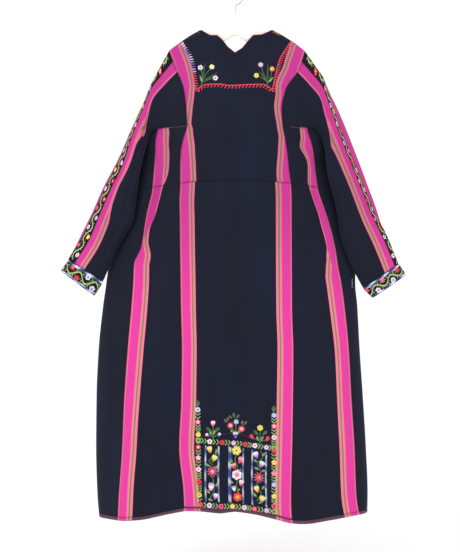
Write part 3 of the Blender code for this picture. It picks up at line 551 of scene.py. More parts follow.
def fold_offset(face, x, drop):
    """Sum of the broad folds, each a bell across its line that grows along it, positive inwards."""
    total = np.zeros_like(x)
    for x_top, drop_top, x_end, drop_end, half_width, depth in BODY_FOLDS[face]:
        along = (drop - drop_top) / (drop_end - drop_top)
        middle = x_top + (x_end - x_top) * along
        fade = soft_step(along * FOLD_RISE) * soft_step((drop_end + FOLD_FADE - drop) / FOLD_FADE)
        total += depth * fade * np.exp(-((x - middle) / half_width) ** 2)
    return total


def crease_offset(face, x, drop):
    """Sum of the creases: each a bell across its own straight line, steeper on one side, that swells
    from both ends to its middle. Positive is inwards."""
    total = np.zeros(np.broadcast(x, drop).shape)
    for x_top, drop_top, x_end, drop_end, left, right, depth in CREASES[face]:
        run = np.array([x_end - x_top, drop_end - drop_top], float)
        length = np.hypot(*run)
        run /= length
        along = ((x - x_top) * run[0] + (drop - drop_top) * run[1]) / length
        aside = (x - x_top) * run[1] - (drop - drop_top) * run[0]
        total += depth * swell(along) * np.exp(-(aside / np.where(aside < 0, left, right)) ** 2)
    return total


def drape_offset(face, x, drop):
    """Low waves of hanging cloth: three crossing sines of long, unequal periods, under 3 mm in all."""
    turn = 0.0 if face == "back" else 2.1
    tall = np.sin(x / 31 + drop / 240 + turn) * np.sin(drop / 310 + x / 190 + 0.6 * turn)
    slant = np.sin((x + 0.35 * drop) / 47 + 1.3 + turn) * np.sin(drop / 150 - x / 90)
    small = np.sin(x / 14 - drop / 160 + turn) * np.sin(drop / 75 + x / 48 + turn)
    return DRAPE_TALL * tall + DRAPE_SLANT * slant + DRAPE_SMALL * small


def face_depth(face, x, drop):
    """y of the back or the front: half a rounded box across, less folds, creases and waves, drawn in to a
    round edge at the shoulder line."""
    left, right = level("fold_l", drop), level("fold_r", drop)
    middle = (left + right) / 2
    across = np.clip((x - middle) / ((right - left) / 2), -1, 1)
    bulge = np.sqrt(np.maximum(1 - np.abs(across) ** ROUNDNESS, 0))
    fold_y = level("fold_y", drop)
    sign = -1 if face == "back" else 1
    full = level(face, drop) - sign * fold_y
    edge = soft_step((1 - np.abs(across)) * FOLD_EDGE)
    below = np.maximum(drop - line(SHOULDER_LINE, x), 0)
    body = (full - fold_offset(face, x, drop) * edge) * bulge
    round_top = SHOULDER_RADIUS * np.sqrt(1 - (1 - np.minimum(below / SHOULDER_RADIUS, 1)) ** 2)
    blend = soft_step(below / CROWN_BLEND)
    fine = (crease_offset(face, x, drop) + drape_offset(face, x, drop)) * edge
    fine = fine * soft_step(below / CREASE_FREE)
    return fold_y * blend + sign * (round_top + (body - round_top) * blend - fine)


def true_drop(face, x, drop):
    """Drop with the dip of the waist seam and the curve of the hem."""
    hem = line(HEM_BACK if face == "back" else HEM_FRONT, x)
    outwards = np.clip(np.abs(x) / WAIST_DIP_HALF, 0, 1)
    dip = WAIST_DIP * outwards ** 2 * np.exp(-((drop - WAIST_DROP) / WAIST_DIP_REACH) ** 2)
    share = np.clip((drop - HEM_START) / (HEM_DROP - HEM_START), 0, None)
    return drop + dip + share * (hem - HEM_DROP)


def face_point(face, x, drop):
    """Point of the back or the front, from a position on the cloth."""
    placed = true_drop(face, x, drop)
    return np.stack([x, face_depth(face, x, placed), -placed], axis=-1)


def neck_drop(face, x):
    """Drop of the panel's upper edge: the shoulder line, or the neck opening where x is inside it."""
    top = line(SHOULDER_LINE, x)
    inside = (x > NECK_LEFT) & (x < NECK_RIGHT)
    if face == "back":
        return np.where(inside, line(NECK_BACK, x), top)
    middle = (NECK_LEFT + NECK_RIGHT) / 2
    across = np.clip(np.abs(x - middle) / ((NECK_RIGHT - NECK_LEFT) / 2), 0, 1)
    scoop = line(SHOULDER_LINE, NECK_LEFT) + NECK_FRONT_DEPTH * (1 - across ** 2)
    return np.where(inside, scoop, top)


@functools.cache
def centre_fractions():
    """Share of the way between the centre seams for each column of the centre panels."""
    beside = 1.5 * SEAM_SIDE
    knots = [CENTRE_COLUMNS[0], CENTRE_COLUMNS[0] + beside, *CENTRE_COLUMNS[1:-1],
             CENTRE_COLUMNS[-1] - beside, CENTRE_COLUMNS[-1]]
    runs = [np.linspace(a, b, math.ceil((b - a) / COLUMN_STEP) + 1)[:-1] for a, b in zip(knots, knots[1:])]
    columns = np.concatenate([*runs, knots[-1:]])
    top = neck_drop("back", columns)
    left, right = level("centre_l", top), level("centre_r", top)
    shares = (columns - left) / (right - left)
    shares[0], shares[-1] = 0, 1
    return shares


def ring_columns(drop):
    """x of every column of a face, from the left fold to the right fold."""
    key = {name: level(name, drop)[..., None] for name in BODY_COLUMNS[1:7]}
    turn = 1 - np.cos(np.linspace(0, math.pi / 2, FOLD_CELLS))
    turn = np.insert(turn, -1, (turn[-2] + 1) / 2)
    beside = 0.4 / SIDE_CELLS
    across = np.concatenate([[0], np.linspace(beside, 1 - beside, SIDE_CELLS - 1), [1]])
    parts = [
        key["fold_l"] + (key["side_l"] - key["fold_l"]) * turn,
        (key["side_l"] + (key["centre_l"] - key["side_l"]) * across)[..., 1:],
        (key["centre_l"] + (key["centre_r"] - key["centre_l"]) * centre_fractions())[..., 1:],
        (key["centre_r"] + (key["side_r"] - key["centre_r"]) * across)[..., 1:],
        (key["fold_r"] + (key["side_r"] - key["fold_r"]) * turn[::-1])[..., 1:],
    ]
    return np.concatenate(parts, axis=-1)


def seam_indices():
    """Column index of each seam on a face."""
    side_l = FOLD_CELLS
    centre_l = side_l + SIDE_CELLS
    centre_r = centre_l + len(centre_fractions()) - 1
    side_r = centre_r + SIDE_CELLS
    return side_l, centre_l, centre_r, side_r, side_r + FOLD_CELLS


def lower_drops():
    """Drops of the rows from the armpit to the hem, with close rows at the waist seam and the binding."""
    bodice = np.linspace(ARMPIT_DROP, WAIST_DROP - SEAM_SIDE, BODICE_ROWS)
    skirt = np.linspace(WAIST_DROP + SEAM_SIDE, HEM_DROP - HEM_BAND - SEAM_SIDE, SKIRT_ROWS - 1)
    band = np.linspace(HEM_DROP - HEM_BAND, HEM_DROP, BAND_ROWS + 1)
    return np.concatenate([bodice, [WAIST_DROP], skirt, band])


def centre_of_ring(grid, face):
    """The centre panel's columns of a grid laid out as the body's rings, left to right."""
    _, centre_l, centre_r, _, _ = seam_indices()
    count = grid.shape[1]
    if face == "back":
        return grid[:, centre_l:centre_r + 1]
    return grid[:, count - centre_r:count - centre_l + 1][:, ::-1]


def grid_normals(points, closed, middle):
    """Unit normals of a grid, the cross product of its steps across and down, turned away from middle."""
    if closed:
        wrapped = np.concatenate([points[:, -1:], points, points[:, :1]], axis=1)
        across = wrapped[:, 2:] - wrapped[:, :-2]
    else:
        across = np.gradient(points, axis=1)
    normal = unit(np.cross(across, np.gradient(points, axis=0)))
    return -normal if ((points - middle) * normal).sum() < 0 else normal


@functools.cache
def body_ring():
    """Closed rings of the body below the armpit, the back left to right and then the front right to left,
    with their normals. The seams lie a little under the cloth beside them."""
    drops = lower_drops()
    x = ring_columns(drops)
    drop = np.broadcast_to(drops[:, None], x.shape)
    back = face_point("back", x, drop)
    front = face_point("front", x, drop)
    outwards = np.abs(x - x.mean()) / np.abs(x - x.mean()).max()
    share = soft_step((outwards - MEETING_START) / (1 - MEETING_START))[..., None]
    middle_z = (back[..., 2:] + front[..., 2:]) / 2
    back[..., 2:] += (middle_z - back[..., 2:]) * share
    front[..., 2:] += (middle_z - front[..., 2:]) * share
    folds = [0, -1]
    back[:, folds] = (back[:, folds] + front[:, folds]) / 2
    ring = np.concatenate([back, front[:, -2:0:-1]], axis=1)
    normal = grid_normals(ring, True, ring.mean(axis=1, keepdims=True))
    side_l, centre_l, centre_r, side_r, _ = seam_indices()
    count = ring.shape[1]
    seams = [side_l, centre_l, centre_r, side_r]
    seams += [count - column for column in seams]
    dip = np.zeros(ring.shape[:2])
    dip[:, seams] = SEAM_DIP
    dip[[BODICE_ROWS, BODICE_ROWS + SKIRT_ROWS]] = SEAM_DIP
    ring -= normal * dip[..., None]
    band = BODICE_ROWS + SKIRT_ROWS
    plump = np.sin(np.linspace(0, math.pi, BAND_ROWS + 1)) * BAND_PLUMP
    ring[band:] += normal[band:] * plump[:, None, None]
    return ring, normal


@functools.cache
def upper_panel(face):
    """Rows of a centre panel from its upper edge down to the body's first ring, with their normals."""
    ring, ring_normal = body_ring()
    fractions = centre_fractions()
    top = np.full(fractions.shape, float(SHOULDER_LINE[4][1]))
    for _ in range(EDGE_STEPS):
        x = level("centre_l", top) + (level("centre_r", top) - level("centre_l", top)) * fractions
        top = neck_drop(face, x)
    share = np.linspace(0, 1, UPPER_ROWS + 1)[:, None] ** ROW_CROWDING
    drop = top + (ARMPIT_DROP - top) * share
    x = level("centre_l", drop) + (level("centre_r", drop) - level("centre_l", drop)) * fractions
    panel = np.stack([x, face_depth(face, x, drop), -drop], axis=-1)
    panel[-1] = centre_of_ring(ring, face)[0]
    normal = grid_normals(panel, False, np.array([0, 0, BODICE_MIDDLE]))
    normal[-1] = centre_of_ring(ring_normal, face)[0]
    on_shoulder = (panel[0, :, 0] <= NECK_LEFT + 1) | (panel[0, :, 0] >= NECK_RIGHT - 1)
    normal[0, :, 1] = np.where(on_shoulder, 0, normal[0, :, 1])
    normal[0] = unit(normal[0])
    return panel, normal


def armhole(side, part):
    """Closed loop of the armhole: shoulder, back selvage, underarm seam, side fold, and the front again.
    part is 0 for the points and 1 for their normals."""
    side_l, centre_l, centre_r, side_r, fold_r = seam_indices()
    ring = body_ring()[part]
    count = ring.shape[1]
    edge = 0 if side == "left" else -1
    back = upper_panel("back")[part][:, edge]
    front = upper_panel("front")[part][::-1, edge]
    if side == "left":
        back_seam = ring[0, :centre_l][::-1]
        front_seam = ring[0, count - centre_l + 1:][::-1]
    else:
        back_seam = ring[0, centre_r + 1:fold_r + 1]
        front_seam = ring[0, fold_r + 1:count - centre_r]
    return np.concatenate([back, back_seam, front_seam, front[:-1]])


def tube_section(row, half_count, slant=1.0):
    """Points round a sleeve at one station, starting at the middle of its strip and going to the back.
    The section is an ellipse between the top fold and the under fold. It is walked by the length square to
    the sleeve, for which slant shortens the way from fold to fold."""
    top_x, top_drop, under_x, under_drop, half_depth, top_y, under_y, edge, shown = row
    angle = np.linspace(0, math.pi, SECTION_POINTS)
    share = (1 - np.cos(angle)) / 2
    x = top_x + (under_x - top_x) * share
    drop = top_drop + (under_drop - top_drop) * share
    y = top_y + (under_y - top_y) * share
    depth = half_depth * np.sin(angle)
    near = np.stack([x, y - depth, -drop], axis=-1)
    far = np.stack([x, y + depth, -drop], axis=-1)
    loop = np.concatenate([near, far[::-1][1:]])
    chord = math.hypot(under_x - top_x, under_drop - top_drop)
    steps = np.hypot(np.diff(share) * chord * slant, np.diff(depth))
    lengths = np.concatenate([[0], np.cumsum(np.concatenate([steps, steps[::-1]]))])
    half, total = lengths[len(near) - 1], lengths[-1]
    middle, inner = edge - shown / 2, edge - shown
    strip = np.linspace(middle, edge, STRIP_CELLS + 1)
    back = np.linspace(edge, half, half_count - STRIP_CELLS + 1)
    front = np.linspace(half, total + inner, half_count - STRIP_CELLS + 1)
    rest = np.linspace(inner, middle, STRIP_CELLS + 1) + total
    stops = np.concatenate([strip, back[1:], front[1:], rest[1:-1]]) % total
    return points_at(stops, lengths, loop)


def sleeve_creases(side, stations, around):
    """Sum of a sleeve's creases: bells across a line in station and share of the way round, inwards."""
    total = np.zeros(np.broadcast(stations, around).shape)
    for start, end, at_start, at_end, half_width, depth in SLEEVE_CREASES[side]:
        along = (stations - start) / (end - start)
        middle = at_start + (at_end - at_start) * along
        total += depth * swell(along) * np.exp(-((around - middle) / half_width) ** 2)
    return total


@functools.cache
def sleeve_grid(side):
    """Rows of a sleeve from the armhole to the cuff's mouth, with their normals. The cuff starts at row
    SLEEVE_ROWS."""
    table = SLEEVE_LEFT if side == "left" else SLEEVE_RIGHT
    mouth = CUFF_LEFT if side == "left" else CUFF_RIGHT
    half_count = UPPER_ROWS + SIDE_CELLS + FOLD_CELLS
    table_points = np.array(table, float)
    chord = table_points[:, 2:4] - table_points[:, :2]
    run = np.gradient(table_points[:, :2], axis=0)
    slants = np.abs(chord[:, 0] * run[:, 1] - chord[:, 1] * run[:, 0]) / np.hypot(*chord.T) / np.hypot(*run.T)
    sections = [armhole(side, 0)]
    sections += [tube_section(row, half_count, slant) for row, slant in zip(table, slants)]
    stations = np.arange(len(sections))
    rows = np.concatenate([[0], np.linspace(FIRST_ROW, len(sections) - 1, SLEEVE_ROWS)])
    grid = smooth_curve(stations, np.stack(sections).reshape(len(sections), -1), rows)
    grid = grid.reshape(len(rows), -1, 3)
    near_share = np.sin(np.linspace(0, math.pi, half_count + 1))
    dent = SLEEVE_DENT * np.exp(-((rows - DENT_STATION) / DENT_REACH) ** 2)
    grid[:, :half_count + 1, 1] += dent[:, None] * near_share
    mouth_section = tube_section(mouth, half_count)
    shares = np.linspace(0, 1, CUFF_ROWS + 1)[1:, None, None]
    cuff = grid[-1] + (mouth_section - grid[-1]) * shares
    grid = np.concatenate([grid, cuff])
    normal = grid_normals(grid, True, grid.mean(axis=1, keepdims=True))
    around = np.linspace(0, 2, grid.shape[1], endpoint=False)
    station = np.concatenate([rows, np.full(CUFF_ROWS, rows[-1])])
    offset = sleeve_creases(side, station[:, None], around)
    offset[SLEEVE_ROWS:] = 0
    cuff_share = np.linspace(0, math.pi, CUFF_ROWS + 1)
    offset[SLEEVE_ROWS:] -= CUFF_PLUMP * np.sin(cuff_share)[:, None] ** 0.4
    offset[SLEEVE_ROWS] += SEAM_DIP
    strip_edges = [STRIP_CELLS, grid.shape[1] - STRIP_CELLS]
    offset[1:SLEEVE_ROWS, strip_edges] += 0.5 * SEAM_DIP
    grid -= normal * offset[..., None]
    normal = grid_normals(grid, True, grid.mean(axis=1, keepdims=True))
    normal[0] = armhole(side, 1)
    return grid, normal


def arc_lengths(points, axis):
    """Length along each line of a grid from its first point, summed from straight steps."""
    steps = np.linalg.norm(np.diff(points, axis=axis), axis=-1)
    start = np.zeros_like(np.take(steps, [0], axis=axis))
    return np.concatenate([start, np.cumsum(steps, axis=axis)], axis=axis)


def square_widths(points):
    """Width along each row of a grid from its first point, measured square to the columns: the sum of the
    cross products of the steps across and the unit steps down."""
    down = np.gradient(points, axis=0)
    steps = np.linalg.norm(np.cross(np.diff(points, axis=1), unit(down[:, 1:] + down[:, :-1])), axis=-1)
    return np.concatenate([np.zeros((len(points), 1)), np.cumsum(steps, axis=1)], axis=1)


def grid_faces(rows, columns):
    """Four-cornered faces of a grid, as indices into its points row by row."""
    index = np.arange(rows * columns).reshape(rows, columns)
    return np.stack([index[:-1, :-1], index[1:, :-1], index[1:, 1:], index[:-1, 1:]], axis=-1).reshape(-1, 4)


def put_mesh(name, vertices, faces, material, maps=None, colours=None):
    """Put vertices in millimetres and faces into a mesh object. maps holds one pair of numbers a vertex for
    each named UV map, and colours one colour a vertex."""
    mesh = bpy.data.meshes.new(name)
    mesh.from_pydata(np.asarray(vertices, float) * MM, [], np.asarray(faces))
    corners = np.empty(len(mesh.loops), np.int32)
    mesh.loops.foreach_get("vertex_index", corners)
    for title, values in (maps or {}).items():
        layer = mesh.uv_layers.new(name=title)
        layer.uv.foreach_set("vector", np.asarray(values, np.float32)[corners].ravel())
    if colours is not None:
        layer = mesh.color_attributes.new(THREAD_COLOUR, "BYTE_COLOR", "CORNER")
        layer.data.foreach_set("color", np.asarray(colours, np.float32)[corners].ravel())
    mesh.shade_smooth()
    mesh.materials.append(material)
    mesh.update()
    placed = bpy.data.objects.new(name, mesh)
    bpy.context.scene.collection.objects.link(placed)
    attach(placed, "root")
    return placed


def cloth_wall(name, points, normal, selvage, tuck, material, thickness):
    """Thin wall of cloth: the grid, the same grid moved in by its thickness, and faces round the edge.
    The map Cloth is the distance across and the height above the lower edge, in metres. In the map Selvage
    the first number is the distance from the striped selvage, the second that from the nearest edge. The
    map Tuck is the distance of a crease from the selvage and the width it hides."""
    across, down = arc_lengths(points, 1), arc_lengths(points, 0)
    edge = np.minimum(np.minimum(across, across[:, -1:] - across), np.minimum(down, down[-1:] - down))
    rows, columns = points.shape[:2]
    count = rows * columns
    vertices = np.concatenate([points.reshape(-1, 3), (points - normal * thickness).reshape(-1, 3)])
    quads = grid_faces(rows, columns)
    index = np.arange(count).reshape(rows, columns)
    loop = np.concatenate([index[0, :-1], index[:-1, -1], index[-1, :0:-1], index[:0:-1, 0]])
    after = np.roll(loop, -1)
    rim = np.stack([loop, after, after + count, loop + count], axis=-1)
    faces = np.concatenate([quads, quads[:, ::-1] + count, rim])
    turned = np.cross(np.diff(points, axis=0)[:, :-1], np.diff(points, axis=1)[:-1])
    if (turned * normal[:-1, :-1]).sum() < 0:
        faces = faces[:, ::-1]
    maps = {
        "Cloth": np.tile(np.stack([across, down[-1:] - down], axis=-1).reshape(-1, 2), (2, 1)) * MM,
        "Selvage": np.tile(np.stack([selvage, edge], axis=-1).reshape(-1, 2), (2, 1)) * MM,
        "Tuck": np.zeros((2 * count, 2)) if tuck is None else np.tile(tuck.reshape(-1, 2), (2, 1)) * MM,
    }
    placed = put_mesh(name, vertices, faces, material, maps)
    area = float(np.linalg.norm(turned, axis=-1).sum()) * MM * MM
    return placed, area, (float(square_widths(points)[:, -1].max()) * MM, float(down[-1].max()) * MM)


def on_back(place):
    """Point and outward normal of the back at pairs of x and drop: y is a function of both, so the normal
    is its slope across, -1 and minus its slope down."""
    x, drop = place[..., 0], place[..., 1]
    y = face_depth("back", x, drop)
    across = (face_depth("back", x + 1, drop) - face_depth("back", x - 1, drop)) / 2
    down = (face_depth("back", x, drop + 1) - face_depth("back", x, drop - 1)) / 2
    return np.stack([x, y, -drop], axis=-1), unit(np.stack([across, -np.ones_like(x), -down], axis=-1))


def sample_grid(grid, normal, column, row):
    """Point and normal of a grid between its points, the mean of the four round it by their nearness."""
    count = grid.shape[1]
    row = np.clip(row, 0, grid.shape[0] - 1.001)
    r, c = np.floor(row).astype(int), np.floor(column).astype(int)
    s, t = (row - r)[..., None], (column - c)[..., None]
    found = []
    for field in (grid, normal):
        near = field[r, c % count] * (1 - t) + field[r, (c + 1) % count] * t
        far = field[r + 1, c % count] * (1 - t) + field[r + 1, (c + 1) % count] * t
        found.append(near * (1 - s) + far * s)
    return found[0], unit(found[1])


def on_strip(side):
    """Where places on a sleeve's strip lie: the distance from its middle towards the back, and down it."""
    grid, normal = sleeve_grid(side)
    lengths = arc_lengths(grid[:SLEEVE_ROWS + 1, :1], 0)[:, 0]

    def find(place):
        column = place[..., 0] / (STRIP_WIDTH / 2) * STRIP_CELLS
        row = np.interp(place[..., 1], lengths, np.arange(len(lengths)))
        return sample_grid(grid, normal, column, row)

    return find, lengths[-1]


def on_cuff(side):
    """Where places on a cuff lie: the distance round it from the strip's middle, and down from its seam."""
    grid, normal = sleeve_grid(side)
    ring = np.concatenate([grid[SLEEVE_ROWS + 1], grid[SLEEVE_ROWS + 1, :1]])
    round_it = lengths_along(ring)
    down = arc_lengths(grid[SLEEVE_ROWS:, :1], 0)[:, 0]

    def find(place):
        column = np.interp(place[..., 0] % round_it[-1], round_it, np.arange(len(round_it)))
        row = np.interp(place[..., 1], down, SLEEVE_ROWS + np.arange(len(down)))
        return sample_grid(grid, normal, column, row)

    return find, round_it[-1], down[-1]


class Needlework:
    """Stitches on one piece of cloth, kept as pairs of flat places, widths and colours."""

    def __init__(self, find, seed):
        self.find = find
        self.random = np.random.default_rng(seed)
        self.starts, self.ends, self.widths, self.colours, self.lifts = [], [], [], [], []

    def stitch(self, starts, ends, colour, width=None, lift=0.0):
        """Add straight stitches. Each gets its own slight shade of the colour."""
        starts, ends = np.atleast_2d(starts), np.atleast_2d(ends)
        count = len(starts)
        shade = 1 + THREAD_SHADE * self.random.standard_normal(count)
        colour = np.broadcast_to(colour, (count, 3)) * shade[:, None]
        self.starts.append(starts)
        self.ends.append(ends)
        self.widths.append(np.broadcast_to(width or bpy.context.scene.thobe_threads.width / MM, count))
        self.colours.append(colour)
        self.lifts.append(np.full(count, lift))

    def satin(self, first, second, colours, lift=0.0):
        """Stitches side by side between two edges, each given as places. Each stitch is made in as many
        parts as there are colours, and the parts overlap a little, as in long and short stitch."""
        gap = max(lengths_along(first)[-1], lengths_along(second)[-1])
        count = max(int(gap / THREAD_STEP), 3)
        at = np.linspace(0, 1, count)
        knots = np.linspace(0, 1, len(first))
        a, b = points_at(at, knots, first), points_at(at, knots, second)
        parts = len(colours)
        ragged = self.random.uniform(-0.5, 0.5, (parts + 1, count)) * THREAD_RAGGED / parts
        ragged[[0, -1]] = 0
        for part, colour in enumerate(colours):
            low = np.clip(part / parts + ragged[part] - SATIN_OVERLAP * (part > 0), 0, 1)[:, None]
            high = np.clip((part + 1) / parts + ragged[part + 1], 0, 1)[:, None]
            self.stitch(a + (b - a) * low, a + (b - a) * high, colour, lift=lift + SATIN_LIFT * part)

    def leaf(self, base, tip, half_width, light, dark, bend=0.0):
        """Fishbone leaf: slanting stitches from a bent midrib to edges that are a sine arch apart."""
        base, run, length, aside = straight(base, tip)
        count = max(int(length / THREAD_STEP * 0.9), 5)
        t = np.linspace(0.02, 0.96, count)[:, None]
        rib = base + run * t + aside * bend * 4 * t * (1 - t)
        ahead = np.clip(t + 0.14, 0, 1)
        edge = base + run * ahead + aside * bend * 4 * ahead * (1 - ahead)
        out = half_width * np.sin(math.pi * np.clip(t * 0.92 + 0.08, 0, 1)) ** 0.75
        self.stitch(rib, edge + aside * out, light)
        self.stitch(rib, edge - aside * out, dark)

    def flower(self, centre, radius, outer, inner, heart, petals=5, turn=0.0):
        """Round flower: radial stitches in two rings, the outer edge scalloped by the petals, and a knot."""
        centre = np.asarray(centre, float)
        count = int(2 * math.pi * radius * 0.82 / THREAD_STEP)
        angle = whole_turn(count)
        ray = np.stack([np.cos(angle), np.sin(angle)], axis=-1)
        lobe = np.abs(np.cos((angle + turn) * petals / 2))
        rim = radius * (0.72 + 0.28 * np.sqrt(lobe))[:, None]
        start = radius * (0.5 + 0.12 * self.random.random(count))[:, None]
        self.stitch(centre + ray * start * 0.86, centre + ray * rim, outer)
        fewer = ray[::2]
        self.stitch(centre + fewer * radius * 0.16, centre + fewer * start[::2], inner, lift=0.03)
        self.knot(centre, radius * 0.26, heart)

    def star(self, centre, radius, colour, heart, points=10):
        """Star flower: narrow satin petals like spokes."""
        centre = np.asarray(centre, float)
        for spoke in np.arange(points) * 2 * math.pi / points:
            ray = np.array([math.cos(spoke), math.sin(spoke)])
            aside = np.array([-ray[1], ray[0]])
            offsets = np.linspace(-0.11, 0.11, 4)[:, None] * radius
            starts = centre + ray * radius * 0.12 + aside * offsets * 0.6
            ends = centre + ray * radius * (1 - np.abs(offsets) / radius * 1.6) + aside * offsets
            self.stitch(starts, ends, colour)
        self.knot(centre, radius * 0.3, heart)

    def knot(self, centre, radius, colour):
        """Small knot: short stitches across a round."""
        offsets = np.linspace(-0.8, 0.8, max(int(2 * radius / THREAD_STEP), 3))
        reach = np.sqrt(1 - offsets ** 2)
        starts = centre + radius * np.stack([-reach, offsets], axis=-1)
        ends = centre + radius * np.stack([reach, offsets], axis=-1)
        self.stitch(starts, ends, colour, lift=0.12)

    def tulip(self, base, tip, half_width, colours):
        """Bud: stitches from the base to a crown of three points, with edges that are a sine arch apart."""
        base, run, _, aside = straight(base, tip)
        across = np.linspace(-1, 1, 25)
        low = 0.16 * across ** 2
        high = 0.8 + 0.2 * np.abs(np.cos(across * 1.5 * math.pi)) - 0.12 * across ** 2
        first = base + run * low[:, None] + aside * (across * half_width * 0.45)[:, None]
        second = base + run * high[:, None] + aside * (across * half_width)[:, None]
        self.satin(first, second, colours)

    def chevron(self, centre, direction, size, light, dark):
        """Two short leaves that meet in a point and open along the direction."""
        centre, ray = np.asarray(centre, float), np.asarray(direction, float)
        aside = np.array([-ray[1], ray[0]])
        for sign, colour in ((1, light), (-1, dark)):
            offsets = np.linspace(0, 1, 4)[:, None] * ray * THREAD_STEP * 3.4
            starts = centre + offsets - ray * size * 0.5
            ends = starts + ray * size * 0.75 + aside * sign * size
            self.stitch(starts, ends, colour)

    def stem(self, path, colour, width=0.8, strands=2):
        """Stem stitch: short slanting stitches along a smooth line through the places."""
        path = np.asarray(path, float)
        lengths = lengths_along(path)
        count = max(int(lengths[-1] / STEM_STEP), 2)
        at = np.linspace(0, lengths[-1], count + 1)
        points = smooth_curve(lengths, path, at)
        run, aside = path_frame(points)
        for strand in range(strands):
            shift = aside * (strand - (strands - 1) / 2) * width
            line_points = points + shift
            lean = aside[:-1] * width * 0.3
            overlap = run[:-1] * STEM_STEP * 0.35
            self.stitch(line_points[:-1] - lean - overlap, line_points[1:] + lean + overlap, colour,
                        width=width * 1.3)

    def feather(self, path, reach, slant, step, colours, period, width):
        """Variegated line: slanting stitches along a line, shaded through the colours and back."""
        path = np.asarray(path, float)
        lengths = lengths_along(path)
        at = np.arange(0, lengths[-1], step)
        points = smooth_curve(lengths, path, at)
        run, aside = path_frame(points)
        colours = np.asarray(colours)
        wave = 0.5 - 0.5 * np.cos(2 * math.pi * at / period + self.random.uniform(0, 6))
        wave = wave * (len(colours) - 1) + self.random.normal(0, 0.12, len(at))
        wave = np.clip(wave, 0, len(colours) - 1.001)
        lower = wave.astype(int)
        mixed = colours[lower] + (colours[lower + 1] - colours[lower]) * (wave - lower)[:, None]
        half = aside * reach / 2 + run * slant / 2
        self.stitch(points - half, points + half, mixed, width=width)

    def make(self, name, slot_name):
        """Turn the stitches into one mesh of low roofs: four corners on the cloth and a raised ridge."""
        starts, ends = np.concatenate(self.starts), np.concatenate(self.ends)
        widths, lifts = np.concatenate(self.widths)[:, None], np.concatenate(self.lifts)[:, None]
        colours = np.concatenate(self.colours)
        height = bpy.context.scene.thobe_threads.height / MM
        a, normal_a = self.find(starts)
        b, normal_b = self.find(ends)
        run = unit(b - a)
        aside_a, aside_b = np.cross(run, normal_a) * widths / 2, np.cross(run, normal_b) * widths / 2
        sunk, top = THREAD_CLEAR + lifts, THREAD_CLEAR + lifts + height
        inset = (b - a) * RIDGE_INSET
        corners = np.stack([
            a + normal_a * sunk - aside_a, a + normal_a * sunk + aside_a,
            b + normal_b * sunk + aside_b, b + normal_b * sunk - aside_b,
            a + inset + normal_a * top, b - inset + normal_b * top,
        ], axis=1)
        count = len(starts)
        base = np.arange(count)[:, None, None] * 6
        quads = (base + np.array([[0, 3, 2, 1], [0, 4, 5, 3], [1, 2, 5, 4]])).reshape(-1, 4)
        ends_faces = (base + np.array([[0, 1, 4], [2, 3, 5]])).reshape(-1, 3)
        triangles = np.concatenate([quads[:, [0, 1, 2]], quads[:, [0, 2, 3]], ends_faces])
        rgba = np.concatenate([np.clip(colours, 0, 1), np.ones((count, 1))], axis=1)
        placed = put_mesh(name, corners.reshape(-1, 3), triangles, thread_material(),
                          colours=np.repeat(rgba, 6, axis=0))
        return placed


def linear(colour):
    """Scene colour of a colour given as 0 to 255 on a screen."""
    value = np.asarray(colour, float) / 255
    return np.where(value <= 0.04045, value / 12.92, ((value + 0.055) / 1.055) ** 2.4)


